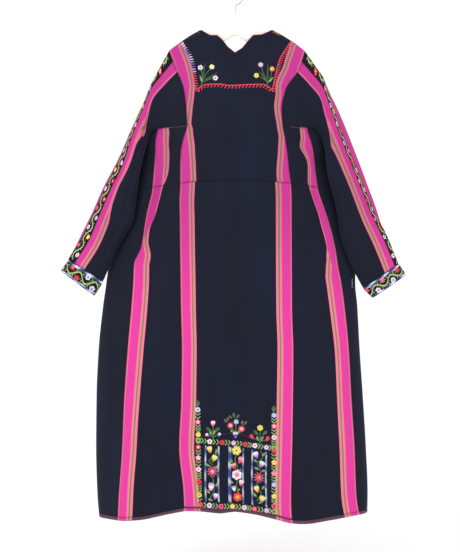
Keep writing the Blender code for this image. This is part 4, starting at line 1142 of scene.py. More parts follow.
class Wire:
    """A socket of a material. Operators on it add Math nodes, and node() adds a node of any other kind."""

    def __init__(self, tree, socket=None):
        self.tree = tree
        self.socket = socket

    def node(self, kind, settings=None, inputs=None, out=0):
        """Add a node. Its settings come first, a ramp's being its stops, and then its sockets' values."""
        made = self.tree.nodes.new(kind)
        for name, value in (settings or {}).items():
            if name == "stops":
                stops = made.color_ramp.elements
                stops[0].position, stops[-1].position = value[0][0], value[-1][0]
                for position, _ in value[1:-1]:
                    stops.new(position)
                for stop, (_, colour) in zip(stops, value):
                    stop.color = (*colour, 1.0)
            else:
                setattr(made, name, value)
        for name, value in (inputs or {}).items():
            if isinstance(value, Wire):
                self.tree.links.new(value.socket, made.inputs[name])
            else:
                made.inputs[name].default_value = value
        return Wire(self.tree, made.outputs[out])

    def math(self, operation, *values):
        """Math node on numbers or sockets."""
        return self.node("ShaderNodeMath", {"operation": operation}, dict(enumerate(values)))

    def __add__(self, other):
        return self.math("ADD", self, other)

    def __sub__(self, other):
        return self.math("SUBTRACT", self, other)

    def __rsub__(self, other):
        return self.math("SUBTRACT", other, self)

    def __mul__(self, other):
        return self.math("MULTIPLY", self, other)

    def __truediv__(self, other):
        return self.math("DIVIDE", self, other)

    __radd__ = __add__
    __rmul__ = __mul__

    def sine(self):
        """Sine of the value in radians."""
        return self.math("SINE", self)

    def between(self, low, high):
        """0 below low, 1 above high and smooth between them."""
        return self.node("ShaderNodeMapRange", {"interpolation_type": "SMOOTHSTEP"},
                         {"Value": self, "From Min": low, "From Max": high})

    def bump(self, strength, distance):
        """Normal that follows the value as a height."""
        return self.node("ShaderNodeBump", None, {"Strength": strength, "Distance": distance, "Height": self})

    def tinted(self, factor, tint):
        """The colour multiplied by a tint as far as factor says."""
        return self.node("ShaderNodeMix", {"data_type": "RGBA", "blend_type": "MULTIPLY"},
                         {0: factor, 6: self, 7: (*tint, 1.0)}, 2)

    def parts(self):
        """First and second number of a vector."""
        first = self.node("ShaderNodeSeparateXYZ", None, {0: self})
        return first, Wire(self.tree, first.socket.node.outputs[1])

    def place(self):
        """Place in the object's own frame."""
        return self.node("ShaderNodeTexCoord", None, None, "Object")

    def noise(self, vector, scale, detail=2.0):
        """Noise from 0 to 1 at places scaled by three numbers."""
        places = self.node("ShaderNodeVectorMath", {"operation": "MULTIPLY"}, {0: vector, 1: scale})
        return self.node("ShaderNodeTexNoise", None, {"Vector": places, "Scale": 1.0, "Detail": detail},
                         "Fac")

    def blend(self, factor, first, second):
        """Colour that goes from first to second as factor goes from 0 to 1."""
        colours = {6: first, 7: second}
        colours = {key: value if isinstance(value, Wire) else (*value, 1.0) for key, value in colours.items()}
        return self.node("ShaderNodeMix", {"data_type": "RGBA"}, {0: factor, **colours}, 2)


def start_material(name, **constants):
    """New material with its shader's constant sockets set. Returns it, its shader and a wire to add nodes."""
    material = bpy.data.materials.new(name)
    material.use_nodes = True
    shader = material.node_tree.nodes["Principled BSDF"]
    for socket, value in constants.items():
        shader.inputs[socket.replace("_", " ")].default_value = value
    return material, shader, Wire(material.node_tree)


def link(shader, **wires):
    """Connect wires to the shader's sockets."""
    for socket, wire in wires.items():
        wire.tree.links.new(wire.socket, shader.inputs[socket.replace("_", " ")])


def shades(colour, spread):
    """A darker and a lighter shade of a colour."""
    colour = np.asarray(colour[:3], float)
    return tuple(colour * (1 - spread)), tuple(np.clip(colour * (1 + spread), 0, 1))


def selvage_stops(cloth, ground):
    """Stops of the striped selvage from its outer edge inwards: salmon, magenta, salmon, a green line, salmon
    and the ground, each a flat band with a short blend to the next."""
    bands = ((0.0, cloth.salmon), (4.6, cloth.magenta), (28.5, cloth.salmon), (33.6, cloth.gold),
             (34.4, cloth.green), (38.6, cloth.gold), (39.5, cloth.salmon), (45.3, ground))
    stops = [(0.0, tuple(bands[0][1]))]
    for (_, before), (edge, after) in zip(bands, bands[1:]):
        stops.append(((edge - STRIPE_BLEND) / STRIPE_REACH, tuple(before)))
        stops.append(((edge + STRIPE_BLEND) / STRIPE_REACH, tuple(after)))
    return stops


@functools.cache
def woven_cotton(name, ground_name, striped=True, facing=0.0):
    """Plain-woven cotton: threads across and down as crossing sines, slubs as stretched noise, broad patches
    that are partly uneven dye and partly painted fold shade, painted shade along the seams and edges, and the
    striped selvage by its distance, its silk stripes with painted shade higher up. facing is the height of a
    hem facing's band."""
    cloth = bpy.context.scene.thobe_cloth
    ground = tuple(getattr(cloth, ground_name))
    material, shader, wire = start_material(
        name, Roughness=0.9, Sheen_Weight=0.05, Sheen_Roughness=0.45, Sheen_Tint=(0.6, 0.7, 1.0, 1.0),
        Specular_IOR_Level=0.22)
    flat = wire.node("ShaderNodeUVMap", {"uv_map": "Cloth"})
    across, down = flat.parts()
    selvage, seam = wire.node("ShaderNodeUVMap", {"uv_map": "Selvage"}).parts()
    crease, hidden = wire.node("ShaderNodeUVMap", {"uv_map": "Tuck"}).parts()
    selvage = selvage + wire.math("GREATER_THAN", selvage, crease) * hidden
    # Broad random patches stretched down the cloth: partly uneven dye, partly painted shade of soft folds.
    dye_and_shade = wire.noise(flat, (8.0, 2.4, 1.0), 3.0).between(0.3, 0.7)
    weft = wire.noise(flat, (110.0, 1500.0, 1.0), 1.0)
    warp = wire.noise(flat, (1500.0, 90.0, 1.0), 1.0)
    slub = weft * 0.5 + warp * 0.5
    dark, light = shades(ground, 0.42)
    base = wire.blend(slub.between(0.3, 0.7) * 0.4 + dye_and_shade * 0.6, dark, light)
    rough = dye_and_shade * 0.08 + 0.84
    if striped:
        ramp = wire.node("ShaderNodeValToRGB", {"stops": selvage_stops(cloth, ground)},
                         {"Fac": selvage * (1000 / STRIPE_REACH)})
        on_stripe = 1 - selvage.between(0.0449, 0.0457)
        on_line = selvage.between(0.0333, 0.0341) * (1 - selvage.between(0.0387, 0.0395))
        ply = ((down * 2900.0 + across * 1500.0).sine() * 0.5 + 0.5) * on_line
        plied = wire.blend(ply * 0.5, ramp, tuple(cloth.gold))
        streak = wire.noise(flat, (900.0, 14.0, 1.0), 2.0)
        streak = (streak * 0.6 + warp * 0.4).between(0.3, 0.72)
        silk = plied.tinted((1 - streak) * 0.42, (0.62, 0.5, 0.66))
        # Painted shade: the silk stripes darken and turn more purple higher up, fully above 0.55 m below the
        # hook and not at all below 0.95 m.
        height_up = wire.node("ShaderNodeSeparateXYZ", None, {0: wire.place()}, 2)
        silk = silk.tinted(height_up.between(-0.95, -0.55) * 0.85, (0.66, 0.62, 0.74))
        base = wire.blend(on_stripe, base, silk)
        rough = rough - on_stripe * 0.26
    if facing:
        on_facing = 1 - down.between(facing - 0.0006, facing + 0.0006)
        base = wire.blend(on_facing, base, tuple(cloth.maroon))
    # Painted shade of the seam grooves: the cloth darkens within 4.5 mm of each seam and edge.
    base = base.tinted((1 - seam.between(0.0, 0.0045)) * 0.5, (0.32, 0.3, 0.36))
    threads = (across * WEAVE_TURNS).sine() * (down * WEAVE_TURNS).sine()
    height = threads * 0.35 + slub * 1.3
    link(shader, Base_Color=base, Roughness=rough, Normal=height.bump(0.35, 0.0003))
    return material


@functools.cache
def thread_material():
    """Silk thread: the stitch's own colour, a little uneven along it, with a soft gloss."""
    material, shader, wire = start_material(
        "silk_thread", Sheen_Weight=0.25, Sheen_Roughness=0.35, Specular_IOR_Level=0.4)
    colour = wire.node("ShaderNodeVertexColor", {"layer_name": THREAD_COLOUR})
    uneven = wire.noise(wire.place(), (900.0, 900.0, 900.0), 1.0)
    worn = colour.tinted((1 - uneven).between(0.35, 0.75) * 0.3, (0.6, 0.58, 0.6))
    link(shader, Base_Color=worn, Roughness=uneven * 0.2 + 0.42)
    return material


@functools.cache
def lacquered_wood():
    """Pale lacquered wood: long grain lines as stretched noise under a clear coat."""
    hanger = bpy.context.scene.thobe_hanger
    material, shader, wire = start_material(
        "lacquered_wood", Coat_Weight=0.35, Coat_Roughness=0.15)
    place = wire.place()
    grain = wire.noise(place, (12.0, 220.0, 260.0), 4.0)
    pores = wire.noise(place, (60.0, 1400.0, 1500.0), 2.0).between(0.62, 0.78)
    dark, light = shades(tuple(hanger.wood), 0.07)
    base = wire.blend(grain.between(0.3, 0.7), light, dark).tinted(pores * 0.25, (0.7, 0.62, 0.52))
    link(shader, Base_Color=base, Roughness=grain * 0.15 + 0.28, Normal=(1 - pores).bump(0.2, 0.0003))
    return material


@functools.cache
def hook_steel():
    """Bright drawn wire: fine lengthwise marks and a few duller patches."""
    hanger = bpy.context.scene.thobe_hanger
    material, shader, wire = start_material("hook_steel", Metallic=1.0)
    place = wire.place()
    patches = wire.noise(place, (90.0, 90.0, 90.0), 3.0)
    marks = wire.noise(place, (700.0, 2200.0, 700.0), 1.0)
    dark, light = shades(tuple(hanger.steel), 0.08)
    link(shader, Base_Color=wire.blend(patches, dark, light), Roughness=patches * 0.22 + 0.16,
         Normal=marks.bump(0.12, 0.0001))
    return material


@functools.cache
def studio_white():
    """Plain white paper of the backdrop, faintly uneven."""
    material, shader, wire = start_material("studio_white", Roughness=0.95, Specular_IOR_Level=0.1)
    place = wire.place()
    link(shader, Base_Color=wire.blend(wire.noise(place, (3.0, 3.0, 3.0)), (0.93, 0.93, 0.935),
                                       (0.95, 0.95, 0.95)))
    return material


@functools.cache
def piping_cotton():
    """Bias piping of the neckline: salmon cotton with fine slanting threads."""
    cloth = bpy.context.scene.thobe_cloth
    material, shader, wire = start_material("piping_cotton", Sheen_Weight=0.15, Sheen_Roughness=0.4)
    place = wire.place()
    threads = wire.noise(place, (900.0, 900.0, 500.0), 2.0)
    dark, light = shades(tuple(cloth.salmon), 0.25)
    link(shader, Base_Color=wire.blend(threads.between(0.3, 0.7), dark, light), Roughness=threads * 0.2 + 0.6,
         Normal=threads.bump(0.3, 0.0002))
    return material


def selvage_distance(across, sides):
    """Distance from the striped selvage across a piece. sides says which edges are striped."""
    left = across if "left" in sides else np.full_like(across, NO_STRIPE)
    right = across[:, -1:] - across if "right" in sides else np.full_like(across, NO_STRIPE)
    return np.minimum(left, right)


def tucked(distance, at, table):
    """Selvage distance with what creases hide: the stretched distance plus what the seam hides. With it comes
    the distance at which a crease lies and the width tucked in there. The table's first column is at."""
    values = smooth_curve([row[0] for row in table], [row[1:] for row in table], at)
    hidden, stretch = values[:, :1], values[:, 1:2]
    tuck = np.broadcast_to(values[:, None, 2:], (*distance.shape, 2))
    return hidden + distance * stretch, tuck


def hang_cloth(node, points, normal, selvage, material, tuck=None):
    """Make one piece of cloth that stands for a node, and hide the node's part. selvage is None for cloth
    without stripes."""
    thickness = bpy.context.scene.thobe_cloth.thickness / MM
    if selvage is None:
        selvage = np.full(points.shape[:2], NO_STRIPE)
    piece, area, flat = cloth_wall("cloth_" + node, points, normal, selvage, tuck, material, thickness)
    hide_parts(node)


def hang_panel(node, rows, start, stop, sides, material):
    """One piece of the body's rings, between two rows and two seams."""
    ring, ring_normal = body_ring()
    columns = np.arange(start, stop + 1) % ring.shape[1]
    points, normal = ring[rows][:, columns], ring_normal[rows][:, columns]
    distance, tuck = selvage_distance(square_widths(points), sides), None
    if node == "back_skirt":
        distance[:, :distance.shape[1] // 2] *= LEFT_SHRINK
    if node.startswith(("back_side", "back_gore")):
        distance, tuck = tucked(distance, -points[:, len(points[0]) // 2, 2], SIDE_TUCKS[node.split("_")[2]])
    hang_cloth(node, points, normal, distance, material, tuck)


def hang_bodice(face):
    """Centre panel of the bodice, from the shoulder line and the neck down to the waist."""
    ring, ring_normal = body_ring()
    upper, upper_normal = upper_panel(face)
    lower = slice(0, BODICE_ROWS + 1)
    points = np.concatenate([upper[:-1], centre_of_ring(ring[lower], face)])
    normal = np.concatenate([upper_normal[:-1], centre_of_ring(ring_normal[lower], face)])
    width = square_widths(points)
    edges = [width, width[:, -1:] - width]
    if face == "back":
        edges[0] += np.interp(-points[:, :1, 2], *np.transpose(CENTRE_HIDDEN["left"]))
        edges[1] += np.interp(-points[:, -1:, 2], *np.transpose(CENTRE_HIDDEN["right"]))
    distance = np.minimum(*edges)
    hang_cloth(f"{face}_bodice", points, normal, distance, woven_cotton("navy_cotton_striped", "navy"))


def hang_sleeve(side):
    """Sleeve, its strip and its cuff. The sleeve's striped selvages meet the strip."""
    grid, normal = sleeve_grid(side)
    count = grid.shape[1]
    upper, lower = slice(0, SLEEVE_ROWS + 1), slice(SLEEVE_ROWS, None)
    strip = np.arange(-STRIP_CELLS, STRIP_CELLS + 1) % count
    rest = np.arange(STRIP_CELLS, count - STRIP_CELLS + 1)
    body = grid[upper][:, rest]
    across = square_widths(body)
    station = np.concatenate([[0], np.linspace(FIRST_ROW, len(SLEEVE_LEFT), SLEEVE_ROWS)])
    table = [(at, hidden, 1, SLEEVE_TUCK_AT[side], width) for at, hidden, width in SLEEVE_TUCKS[side]]
    near, tuck = tucked(across, station, table)
    tuck = np.where((across < NEAR_HALF)[..., None], tuck, 0)
    far = across[:, -1:] - across + FRONT_HIDDEN
    bodice, black = "cloth_back_bodice", woven_cotton("black_cotton", "black", False)
    hang_cloth(f"sleeve_{side}", body, normal[upper][:, rest], np.minimum(near, far),
               woven_cotton("navy_cotton_striped", "navy"), tuck)
    hang_cloth(f"sleeve_strip_{side}", grid[upper][:, strip], normal[upper][:, strip], None, black)
    seam = UPPER_ROWS + SIDE_CELLS + FOLD_CELLS
    ring = np.arange(seam, seam + count + 1) % count
    hang_cloth(f"cuff_{side}", grid[lower][:, ring], normal[lower][:, ring], None, black)


def hang_hem():
    """Hem binding: a plump band round the hem, joined at the left side seam, with the stripes running on."""
    ring, ring_normal = body_ring()
    side_l, centre_l, centre_r, side_r, _ = seam_indices()
    count = ring.shape[1]
    start = BODICE_ROWS + SKIRT_ROWS
    columns = np.arange(side_l, side_l + count + 1) % count
    points, normal = ring[start:][:, columns], ring_normal[start:][:, columns]
    across = arc_lengths(points, 1)
    far = {column: count - column for column in (side_l, centre_l, centre_r, side_r)}
    spans = (
        (centre_l, centre_r, (centre_l, centre_r)),
        (far[centre_r], far[centre_l], (far[centre_r], far[centre_l])),
        (side_l, centre_l, (side_l,)), (centre_r, side_r, (side_r,)),
        (far[side_r], far[centre_r], (far[side_r],)), (far[centre_l], far[side_l], (far[side_l],)),
    )
    distance = np.full(across.shape, NO_STRIPE)
    for first, last, striped in spans:
        inside = slice(first - side_l, last - side_l + 1)
        for column in striped:
            near = np.abs(across - across[:, column - side_l, None])[:, inside]
            distance[:, inside] = np.minimum(distance[:, inside], near)
    hang_cloth("hem_binding", points, normal, distance,
               woven_cotton("maroon_binding", "maroon"))


def body_panels():
    """Every panel of the body's rings: node, first and last row, start and end column, striped edges and
    what it hangs from. The edges are named in the order of the columns."""
    side_l, centre_l, centre_r, side_r, _ = seam_indices()
    count = body_ring()[0].shape[1]
    front = {column: count - column for column in (side_l, centre_l, centre_r, side_r)}
    upper, lower = (0, BODICE_ROWS), (BODICE_ROWS, BODICE_ROWS + SKIRT_ROWS)
    both, back, fore = ("left", "right"), "cloth_back_bodice", "cloth_front_bodice"
    return {
        "back_side_left": (upper, side_l, centre_l, ("left",), back),
        "back_side_right": (upper, centre_r, side_r, ("right",), back),
        "front_side_right": (upper, front[side_r], front[centre_r], ("left",), fore),
        "front_side_left": (upper, front[centre_l], front[side_l], ("right",), fore),
        "underarm_right": (upper, side_r, front[side_r], (), "cloth_sleeve_right"),
        "underarm_left": (upper, front[side_l], count + side_l, (), "cloth_sleeve_left"),
        "back_skirt": (lower, centre_l, centre_r, both, back),
        "front_skirt": (lower, front[centre_r], front[centre_l], both, fore),
        "back_gore_left": (lower, side_l, centre_l, ("left",), "cloth_back_side_left"),
        "back_gore_right": (lower, centre_r, side_r, ("right",), "cloth_back_side_right"),
        "front_gore_right": (lower, front[side_r], front[centre_r], ("left",), "cloth_front_side_right"),
        "front_gore_left": (lower, front[centre_l], front[side_l], ("right",), "cloth_front_side_left"),
        "side_gore_right": (lower, side_r, front[side_r], (), "cloth_underarm_right"),
        "side_gore_left": (lower, front[side_l], count + side_l, (), "cloth_underarm_left"),
    }


def hang_panels(names):
    """Hang some of the body's panels."""
    panels = body_panels()
    for name in names:
        (first, last), start, stop, sides, rests_on = panels[name]
        facing = FACING if name == "back_skirt" else 0.0
        label = "navy_cotton_faced" if facing else "navy_cotton_striped"
        hang_panel(name, slice(first, last + 1), start, stop, sides,
                   woven_cotton(label, "navy", True, facing))


def thread(name):
    """Colour of one of the named threads."""
    return linear(THREADS[name])


def threads(names):
    """Colours of several threads, given as one string."""
    return [thread(name) for name in names.split()]


def sew_flower(work, x, drop, size, names, petals=5):
    """Flower with its outer, inner and heart threads named."""
    outer, inner, heart = threads(names)
    work.flower((x, drop), size / 2, outer, inner, heart, petals, turn=work.random.uniform(0, 3))


def sew_border(work, flowers):
    """Line of flowers with chevron leaves between them."""
    places = np.array([flower[:2] for flower in flowers], float)
    for x, drop, names in flowers:
        sew_flower(work, x, drop, BORDER_FLOWER, names)
    for before, after in zip(places, places[1:]):
        run = after - before
        length = np.hypot(*run)
        ray = run / length
        room = length - BORDER_FLOWER
        count = max(int(round(room / BORDER_STEP)), 1)
        for step in range(count):
            middle = before + ray * (BORDER_FLOWER / 2 + room * (step + 0.5) / count)
            work.chevron(middle, -ray, CHEVRON_SIZE, thread("leaf"), thread("leaf"))


def sew_yoke(seed):
    """Back yoke: a ladder stitch round it and a spray of flowers in each lower corner."""
    work = Needlework(on_back, seed)
    for path, names, rail, slant, step, period in YOKE_LADDERS:
        path = np.array(path, float)
        work.feather(path, LADDER_WIDTH, slant, step, threads(names), period, RUNG_WIDTH)
        lengths = lengths_along(path)
        dense = smooth_curve(lengths, path, np.linspace(0, lengths[-1], RAIL_POINTS))
        work.stem(dense + path_frame(dense)[1] * LADDER_WIDTH / 2, thread(rail), 1.1, 2)
    for base, stalks in YOKE_SPRAYS:
        for kind, x, drop, names, bend in stalks:
            start, run, length, aside = straight(base, (x, drop))
            if kind == "flower":
                work.stem([start, start + run / 2 + aside * bend, start + run], thread("green"), 0.7, 2)
                sew_flower(work, x, drop, YOKE_FLOWER, names)
            else:
                work.stem([start, start + run], thread(names.split()[0]), 0.6, 1)
                for share in np.linspace(0.25, 0.98, FROND_PAIRS):
                    size = FROND_SIZE * (1.25 - share)
                    work.chevron(start + run * share, run / length, size, *threads(names))
        work.stem([base, (base[0] - 3, base[1] + 7)], thread("green"), 1.0, 2)
    return work


def sew_hem_panel(seed):
    """Lower back panel: borders, three columns of flowers between blue and white lines, and sprays."""
    work = Needlework(on_back, seed)
    for flowers in (HEM_BORDER_LEFT, HEM_BORDER_RIGHT):
        sew_border(work, flowers)
        top = np.array(flowers[0][:2], float) - (0, 14)
        for lean in (-5.5, 0, 5.5):
            work.leaf(top + (0, 6), top + (lean, -8 - (lean == 0) * 5), 2.2, thread("olive"), thread("moss"))
    for flowers in (HEM_BORDER_TOP, HEM_BORDER_BOTTOM):
        sew_border(work, flowers)
    work.stem([(-98, 1252), (-45, 1247), (2, 1242), (50, 1256), (96, 1262)], thread("wine"), 0.6, 1)
    for x, names, wide in HEM_LINES:
        top, bottom = np.interp(x, *HEM_LINES_TOP), np.interp(x, *HEM_LINES_BOTTOM)
        path = [(x, top), (x - 1.5, (top + bottom) / 2), (x, bottom)]
        reach, slant, step, width = HEM_LINE_STITCHES[wide]
        work.feather(path, reach, slant, step, threads(names), HEM_LINE_PERIOD, width)
    for path in HEM_STEMS:
        work.stem(path, thread("green"), 0.9, 2)
    for x, drop, lean, size, light, dark in HEM_LEAVES:
        middle, reach = np.array([x, drop]), leaning(lean) * size / 2
        work.leaf(middle - reach, middle + reach, size * LEAF_HALF, thread(light), thread(dark), bend=0.8)
    for kind, x, drop, size, lean, names in HEM_MOTIFS:
        middle, reach = np.array([x, drop]), leaning(lean) * size / 2
        if kind == "tulip":
            work.tulip(middle - reach, middle + reach, size * TULIP_HALF, threads(names))
        elif kind == "star":
            work.star(middle, size / 2, *threads(names))
        else:
            sew_flower(work, x, drop, size, names, 6 if size > 16 else 5)
    return work


def sew_vine(work, length, reach, pitch, size, names, start=0.0):
    """Vine that waves between the edges of a band, a flower in each bend and small leaves on the way."""
    at = np.arange(0, length, 4.0)
    wave = reach * np.sin(2 * math.pi * (at - start) / pitch)
    path = np.stack([wave, at], axis=-1)
    work.stem(path, thread("leaf"), 1.1, 2)
    work.stem(path + (1.9, 0.8), thread("cream"), 0.8, 1)
    work.stem(path - (1.9, 0.8), thread("green"), 0.8, 1)
    bends = np.arange(start + pitch / 4, length - size / 2, pitch / 2)
    for number, place in enumerate(bends):
        side = -1 if number % 2 else 1
        x = -side * (STRIP_WIDTH / 2 - size / 2 - 1.5) * reach / VINE_REACH
        sew_flower(work, x, place, size, names[number % len(names)])
        for lean, away in ((0.9, 7.0), (-0.9, -7.0)):
            base = np.array([reach * side * 0.55, place + away * 1.3])
            tip = base + np.array([side * 6.0, lean * 4.0])
            work.leaf(base, tip, 2.0, thread("leaf"), thread("olive"))
            bud = np.array([x * 0.55, place + away * 1.35])
            work.knot(bud, 1.1, thread("leaf"))
    return work


def sew_sleeve_strip(side, seed):
    """Black strip of a sleeve: a green vine with flowers from the shoulder to the cuff."""
    find, length = on_strip(side)
    work = Needlework(find, seed)
    sew_vine(work, length - 4, VINE_REACH, STRIP_PITCH, STRIP_FLOWER, SLEEVE_FLOWERS[side], STRIP_START)
    return work


def sew_cuff(side, seed):
    """Cuff: a vine with flowers round it, between variegated cords along both edges."""
    find, round_it, down = on_cuff(side)
    middle = down / 2 + 0.5
    vine = Needlework(lambda place: find(np.stack([place[..., 1], place[..., 0] + middle], axis=-1)), seed)
    bends = int(round(round_it / 50)) * 2
    pitch = round_it / bends * 2
    sew_vine(vine, round_it, down / 2 - 10.5, pitch, CUFF_FLOWER, CUFF_FLOWERS[side], pitch * 0.1)
    at = np.arange(0, round_it + 1, 6.0)
    for edge in [inset - middle for inset in CORDS_ABOVE] + [middle - inset for inset in CORDS_BELOW]:
        path = np.stack([np.full(at.shape, edge), at], axis=-1)
        vine.feather(path, 2.0, 2.0, 1.5, threads("white sky blue navy"), 44.0, 1.8)
    return vine


def sew_seams(seed):
    """Small stitches of the making: the underarm seams' top line, bartacks, and tacks at the shoulders."""
    work = Needlework(on_back, seed)
    for path in SEAM_LINES:
        work.stem(path, thread("rust"), 0.55, 1)
    for start, end in BARTACKS:
        start, end = np.array(start, float), np.array(end, float)
        offsets = np.linspace(0, 1, 9)[:, None] * (end - start)
        work.stitch(start + offsets - (1.4, 0), start + offsets + (1.4, 1.0), thread("white"))
    for places, name in SHOULDER_TACKS:
        for x, drop in places:
            work.stitch((x, drop), (x + 4.5, drop + 5.5), thread(name), width=1.2)
    return work


def arm_top(x):
    """Drop of the hanger's upper edge: under the shoulder line, and rising to its peak at the neck."""
    outside = np.where(x < 0, np.minimum(x, NECK_LEFT), np.maximum(x, NECK_RIGHT))
    slope = (line(SHOULDER_LINE, outside + 1) - line(SHOULDER_LINE, outside - 1)) / 2
    under_cloth = line(SHOULDER_LINE, outside) + ARM_REST * np.sqrt(1 + slope ** 2)
    share = np.clip((np.abs(x) - PEAK_HALF) / (RISE_HALF - PEAK_HALF), 0, 1)
    return HANGER_PEAK + (under_cloth - HANGER_PEAK) * share ** RISE_SHAPE


def closed_tube(name, rings, material):
    """Closed surface through rings of points, with a middle point at each end."""
    count, sides = rings.shape[:2]
    poles = rings[[0, -1]].mean(axis=1)
    vertices = np.concatenate([rings.reshape(-1, 3), poles])
    index = np.arange(count * sides).reshape(count, sides)
    wrap = np.concatenate([index, index[:, :1]], axis=1)
    quads = np.stack([wrap[:-1, :-1], wrap[:-1, 1:], wrap[1:, 1:], wrap[1:, :-1]], axis=-1).reshape(-1, 4)
    first, last = count * sides, count * sides + 1
    caps = [np.stack([wrap[0, 1:], wrap[0, :-1], np.full(sides, first)], axis=-1),
            np.stack([wrap[-1, :-1], wrap[-1, 1:], np.full(sides, last)], axis=-1)]
    triangles = np.concatenate([quads[:, [0, 1, 2]], quads[:, [0, 2, 3]], *caps])
    corners = vertices[triangles]
    volume = np.einsum("ij,ij->i", corners[:, 0], np.cross(corners[:, 1], corners[:, 2])).sum()
    return put_mesh(name, vertices, triangles if volume > 0 else triangles[:, ::-1], material)


def carve_arms():
    """Hanger arms: upright rounded sections along x, deep in the middle and slim at the rounded tips."""
    rounding = 1 - np.cos(np.linspace(0, math.pi / 2, TIP_STEPS))
    left = ARM_TIP_LEFT + ARM_HALF * rounding
    right = ARM_TIP_RIGHT - ARM_HALF * rounding
    x = np.concatenate([left, np.linspace(left[-1], right[-1], ARM_STEPS)[1:-1], right[::-1]])
    ends = np.sin(np.linspace(0, math.pi / 2, TIP_STEPS))
    shrink = np.concatenate([ends, np.ones(ARM_STEPS - 2), ends[::-1]])
    shrink = np.maximum(shrink, 0.02)
    reach = np.where(x < 0, ARM_TIP_LEFT, ARM_TIP_RIGHT)
    swelling = np.maximum(1 - (x / reach) ** 2, 0) ** ARM_TAPER
    depth = ARM_DEPTH_TIP + (ARM_DEPTH_MIDDLE - ARM_DEPTH_TIP) * swelling
    angle = whole_turn(ARM_SIDES)
    centre = np.sign(np.cos(angle) + 1e-9)
    flat = np.maximum(depth / 2 - ARM_HALF, 0)
    section = (flat[:, None] * centre + ARM_HALF * np.cos(angle)) * shrink[:, None]
    drop = (arm_top(x) + depth / 2)[:, None] - section
    y = ARM_HALF * np.sin(angle) * shrink[:, None]
    rings = np.stack([np.broadcast_to(x[:, None], drop.shape), y, -drop], axis=-1)
    arms = closed_tube("hanger_arms_lacquered", rings, lacquered_wood())
    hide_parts("hanger_arms")


def bend_hook():
    """Hook: a round wire swept along a smooth path in the plane y = 0, rounded at its free end."""
    arc_radius = HOOK_RADIUS + WIRE_RADIUS
    arc = np.radians(np.linspace(HOOK_START, HOOK_END, HOOK_STEPS))
    hook = np.stack([arc_radius * np.cos(arc), arc_radius * np.sin(arc) - HOOK_RADIUS], axis=-1)
    knots = np.concatenate([SHANK, hook])
    lengths = lengths_along(knots)
    steps = np.linspace(0, lengths[-1], WIRE_STEPS)
    path = smooth_curve(lengths, knots, steps)
    left = lengths[-1] - steps
    radius = WIRE_RADIUS * np.sqrt(1 - np.clip(1 - left / WIRE_RADIUS, 0, 0.98) ** 2)
    angle = whole_turn(WIRE_SIDES)
    aside = -path_frame(path)[1][:, None] * np.cos(angle)[None, :, None]
    flat = path[:, None] + aside * radius[:, None, None]
    y = np.sin(angle)[None] * radius[:, None]
    hook = closed_tube("hanger_hook_wire", np.stack([flat[..., 0], y, flat[..., 1]], axis=-1), hook_steel())
    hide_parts("hanger_hook")


def pipe_neck(face):
    """Piping over the neckline's cut edge: a small round section along the edge, tapered at the shoulders."""
    panel, normal = upper_panel(face)
    x = panel[0, :, 0]
    inside = np.flatnonzero((x >= NECK_LEFT - 0.5) & (x <= NECK_RIGHT + 0.5))
    edge, out = panel[0, inside], normal[0, inside]
    lengths = lengths_along(edge)
    steps = np.linspace(0, lengths[-1], PIPING_STEPS)
    path, out = points_at(steps, lengths, edge), points_at(steps, lengths, out)
    run = unit(np.gradient(path, axis=0))
    out = unit(out - run * (out * run).sum(axis=-1, keepdims=True))
    up = np.cross(run, out)
    up *= np.sign(up[:, 2:3].sum())
    path = path - out * 0.5
    angle = whole_turn(PIPING_SIDES)
    tall, thick = PIPING_HALF
    rings = (path[:, None] + up[:, None] * (tall * np.cos(angle))[None, :, None]
             + out[:, None] * (thick * np.sin(angle))[None, :, None])
    piping = closed_tube(f"neck_piping_{face}", rings, piping_cotton())
    return piping


def screen_colour(name, description, value):
    """Colour property whose default is a colour given as 0 to 255 on a screen."""
    return FloatVectorProperty(name=name, description=description, default=tuple(map(float, linear(value))),
                               subtype="COLOR", size=3, min=0.0, max=1.0)


class ThobeCloth(PropertyGroup):
    """Sizes and colours of the cloth."""
    thickness: FloatProperty(name="Thickness", description="Thickness of the cloth walls", default=0.0011,
                             min=0.0003, max=0.003, unit="LENGTH")
    navy: screen_colour("Navy", "Dress cotton", NAVY)
    black: screen_colour("Black", "Cotton under the embroidery of sleeves and cuffs", BLACK)
    magenta: screen_colour("Magenta", "Wide band of the selvage", MAGENTA)
    salmon: screen_colour("Salmon", "Narrow bands of the selvage", SALMON)
    green: screen_colour("Green", "Line in the selvage", GREEN_LINE)
    gold: screen_colour("Gold", "Edges of the green line", GOLD_LINE)
    maroon: screen_colour("Maroon", "Hem binding", MAROON)


class ThobeThreads(PropertyGroup):
    """Sizes of the embroidery threads."""
    width: FloatProperty(name="Width", description="Width of one stitch", default=0.00078, min=0.0003,
                         max=0.002, unit="LENGTH")
    height: FloatProperty(name="Height", description="Height of one stitch over the cloth", default=0.0004,
                          min=0.0001, max=0.001, unit="LENGTH")
    seed: IntProperty(name="Seed", description="Changes the small unevenness of the stitches", default=4,
                      min=0)


class ThobeHanger(PropertyGroup):
    """Colours of the coat hanger."""
    wood: screen_colour("Wood", "Lacquered wood of the arms", WOOD)
    steel: screen_colour("Steel", "Wire of the hook", STEEL)


class ThobeStudio(PropertyGroup):
    """Light and camera."""
    lens: FloatProperty(name="Lens", description="Focal length on a sensor 36 mm high", default=66.98,
                        min=20, max=200, unit="CAMERA")
    surround: FloatProperty(name="Surround", description="Brightness of the white all round", default=1.12,
                            min=0, max=5)
    key: FloatProperty(name="Key", description="Power of the main light", default=24.0, min=0,
                       max=500, unit="POWER")
    fill: FloatProperty(name="Fill", description="Power of the second light", default=7.0, min=0,
                        max=500, unit="POWER")


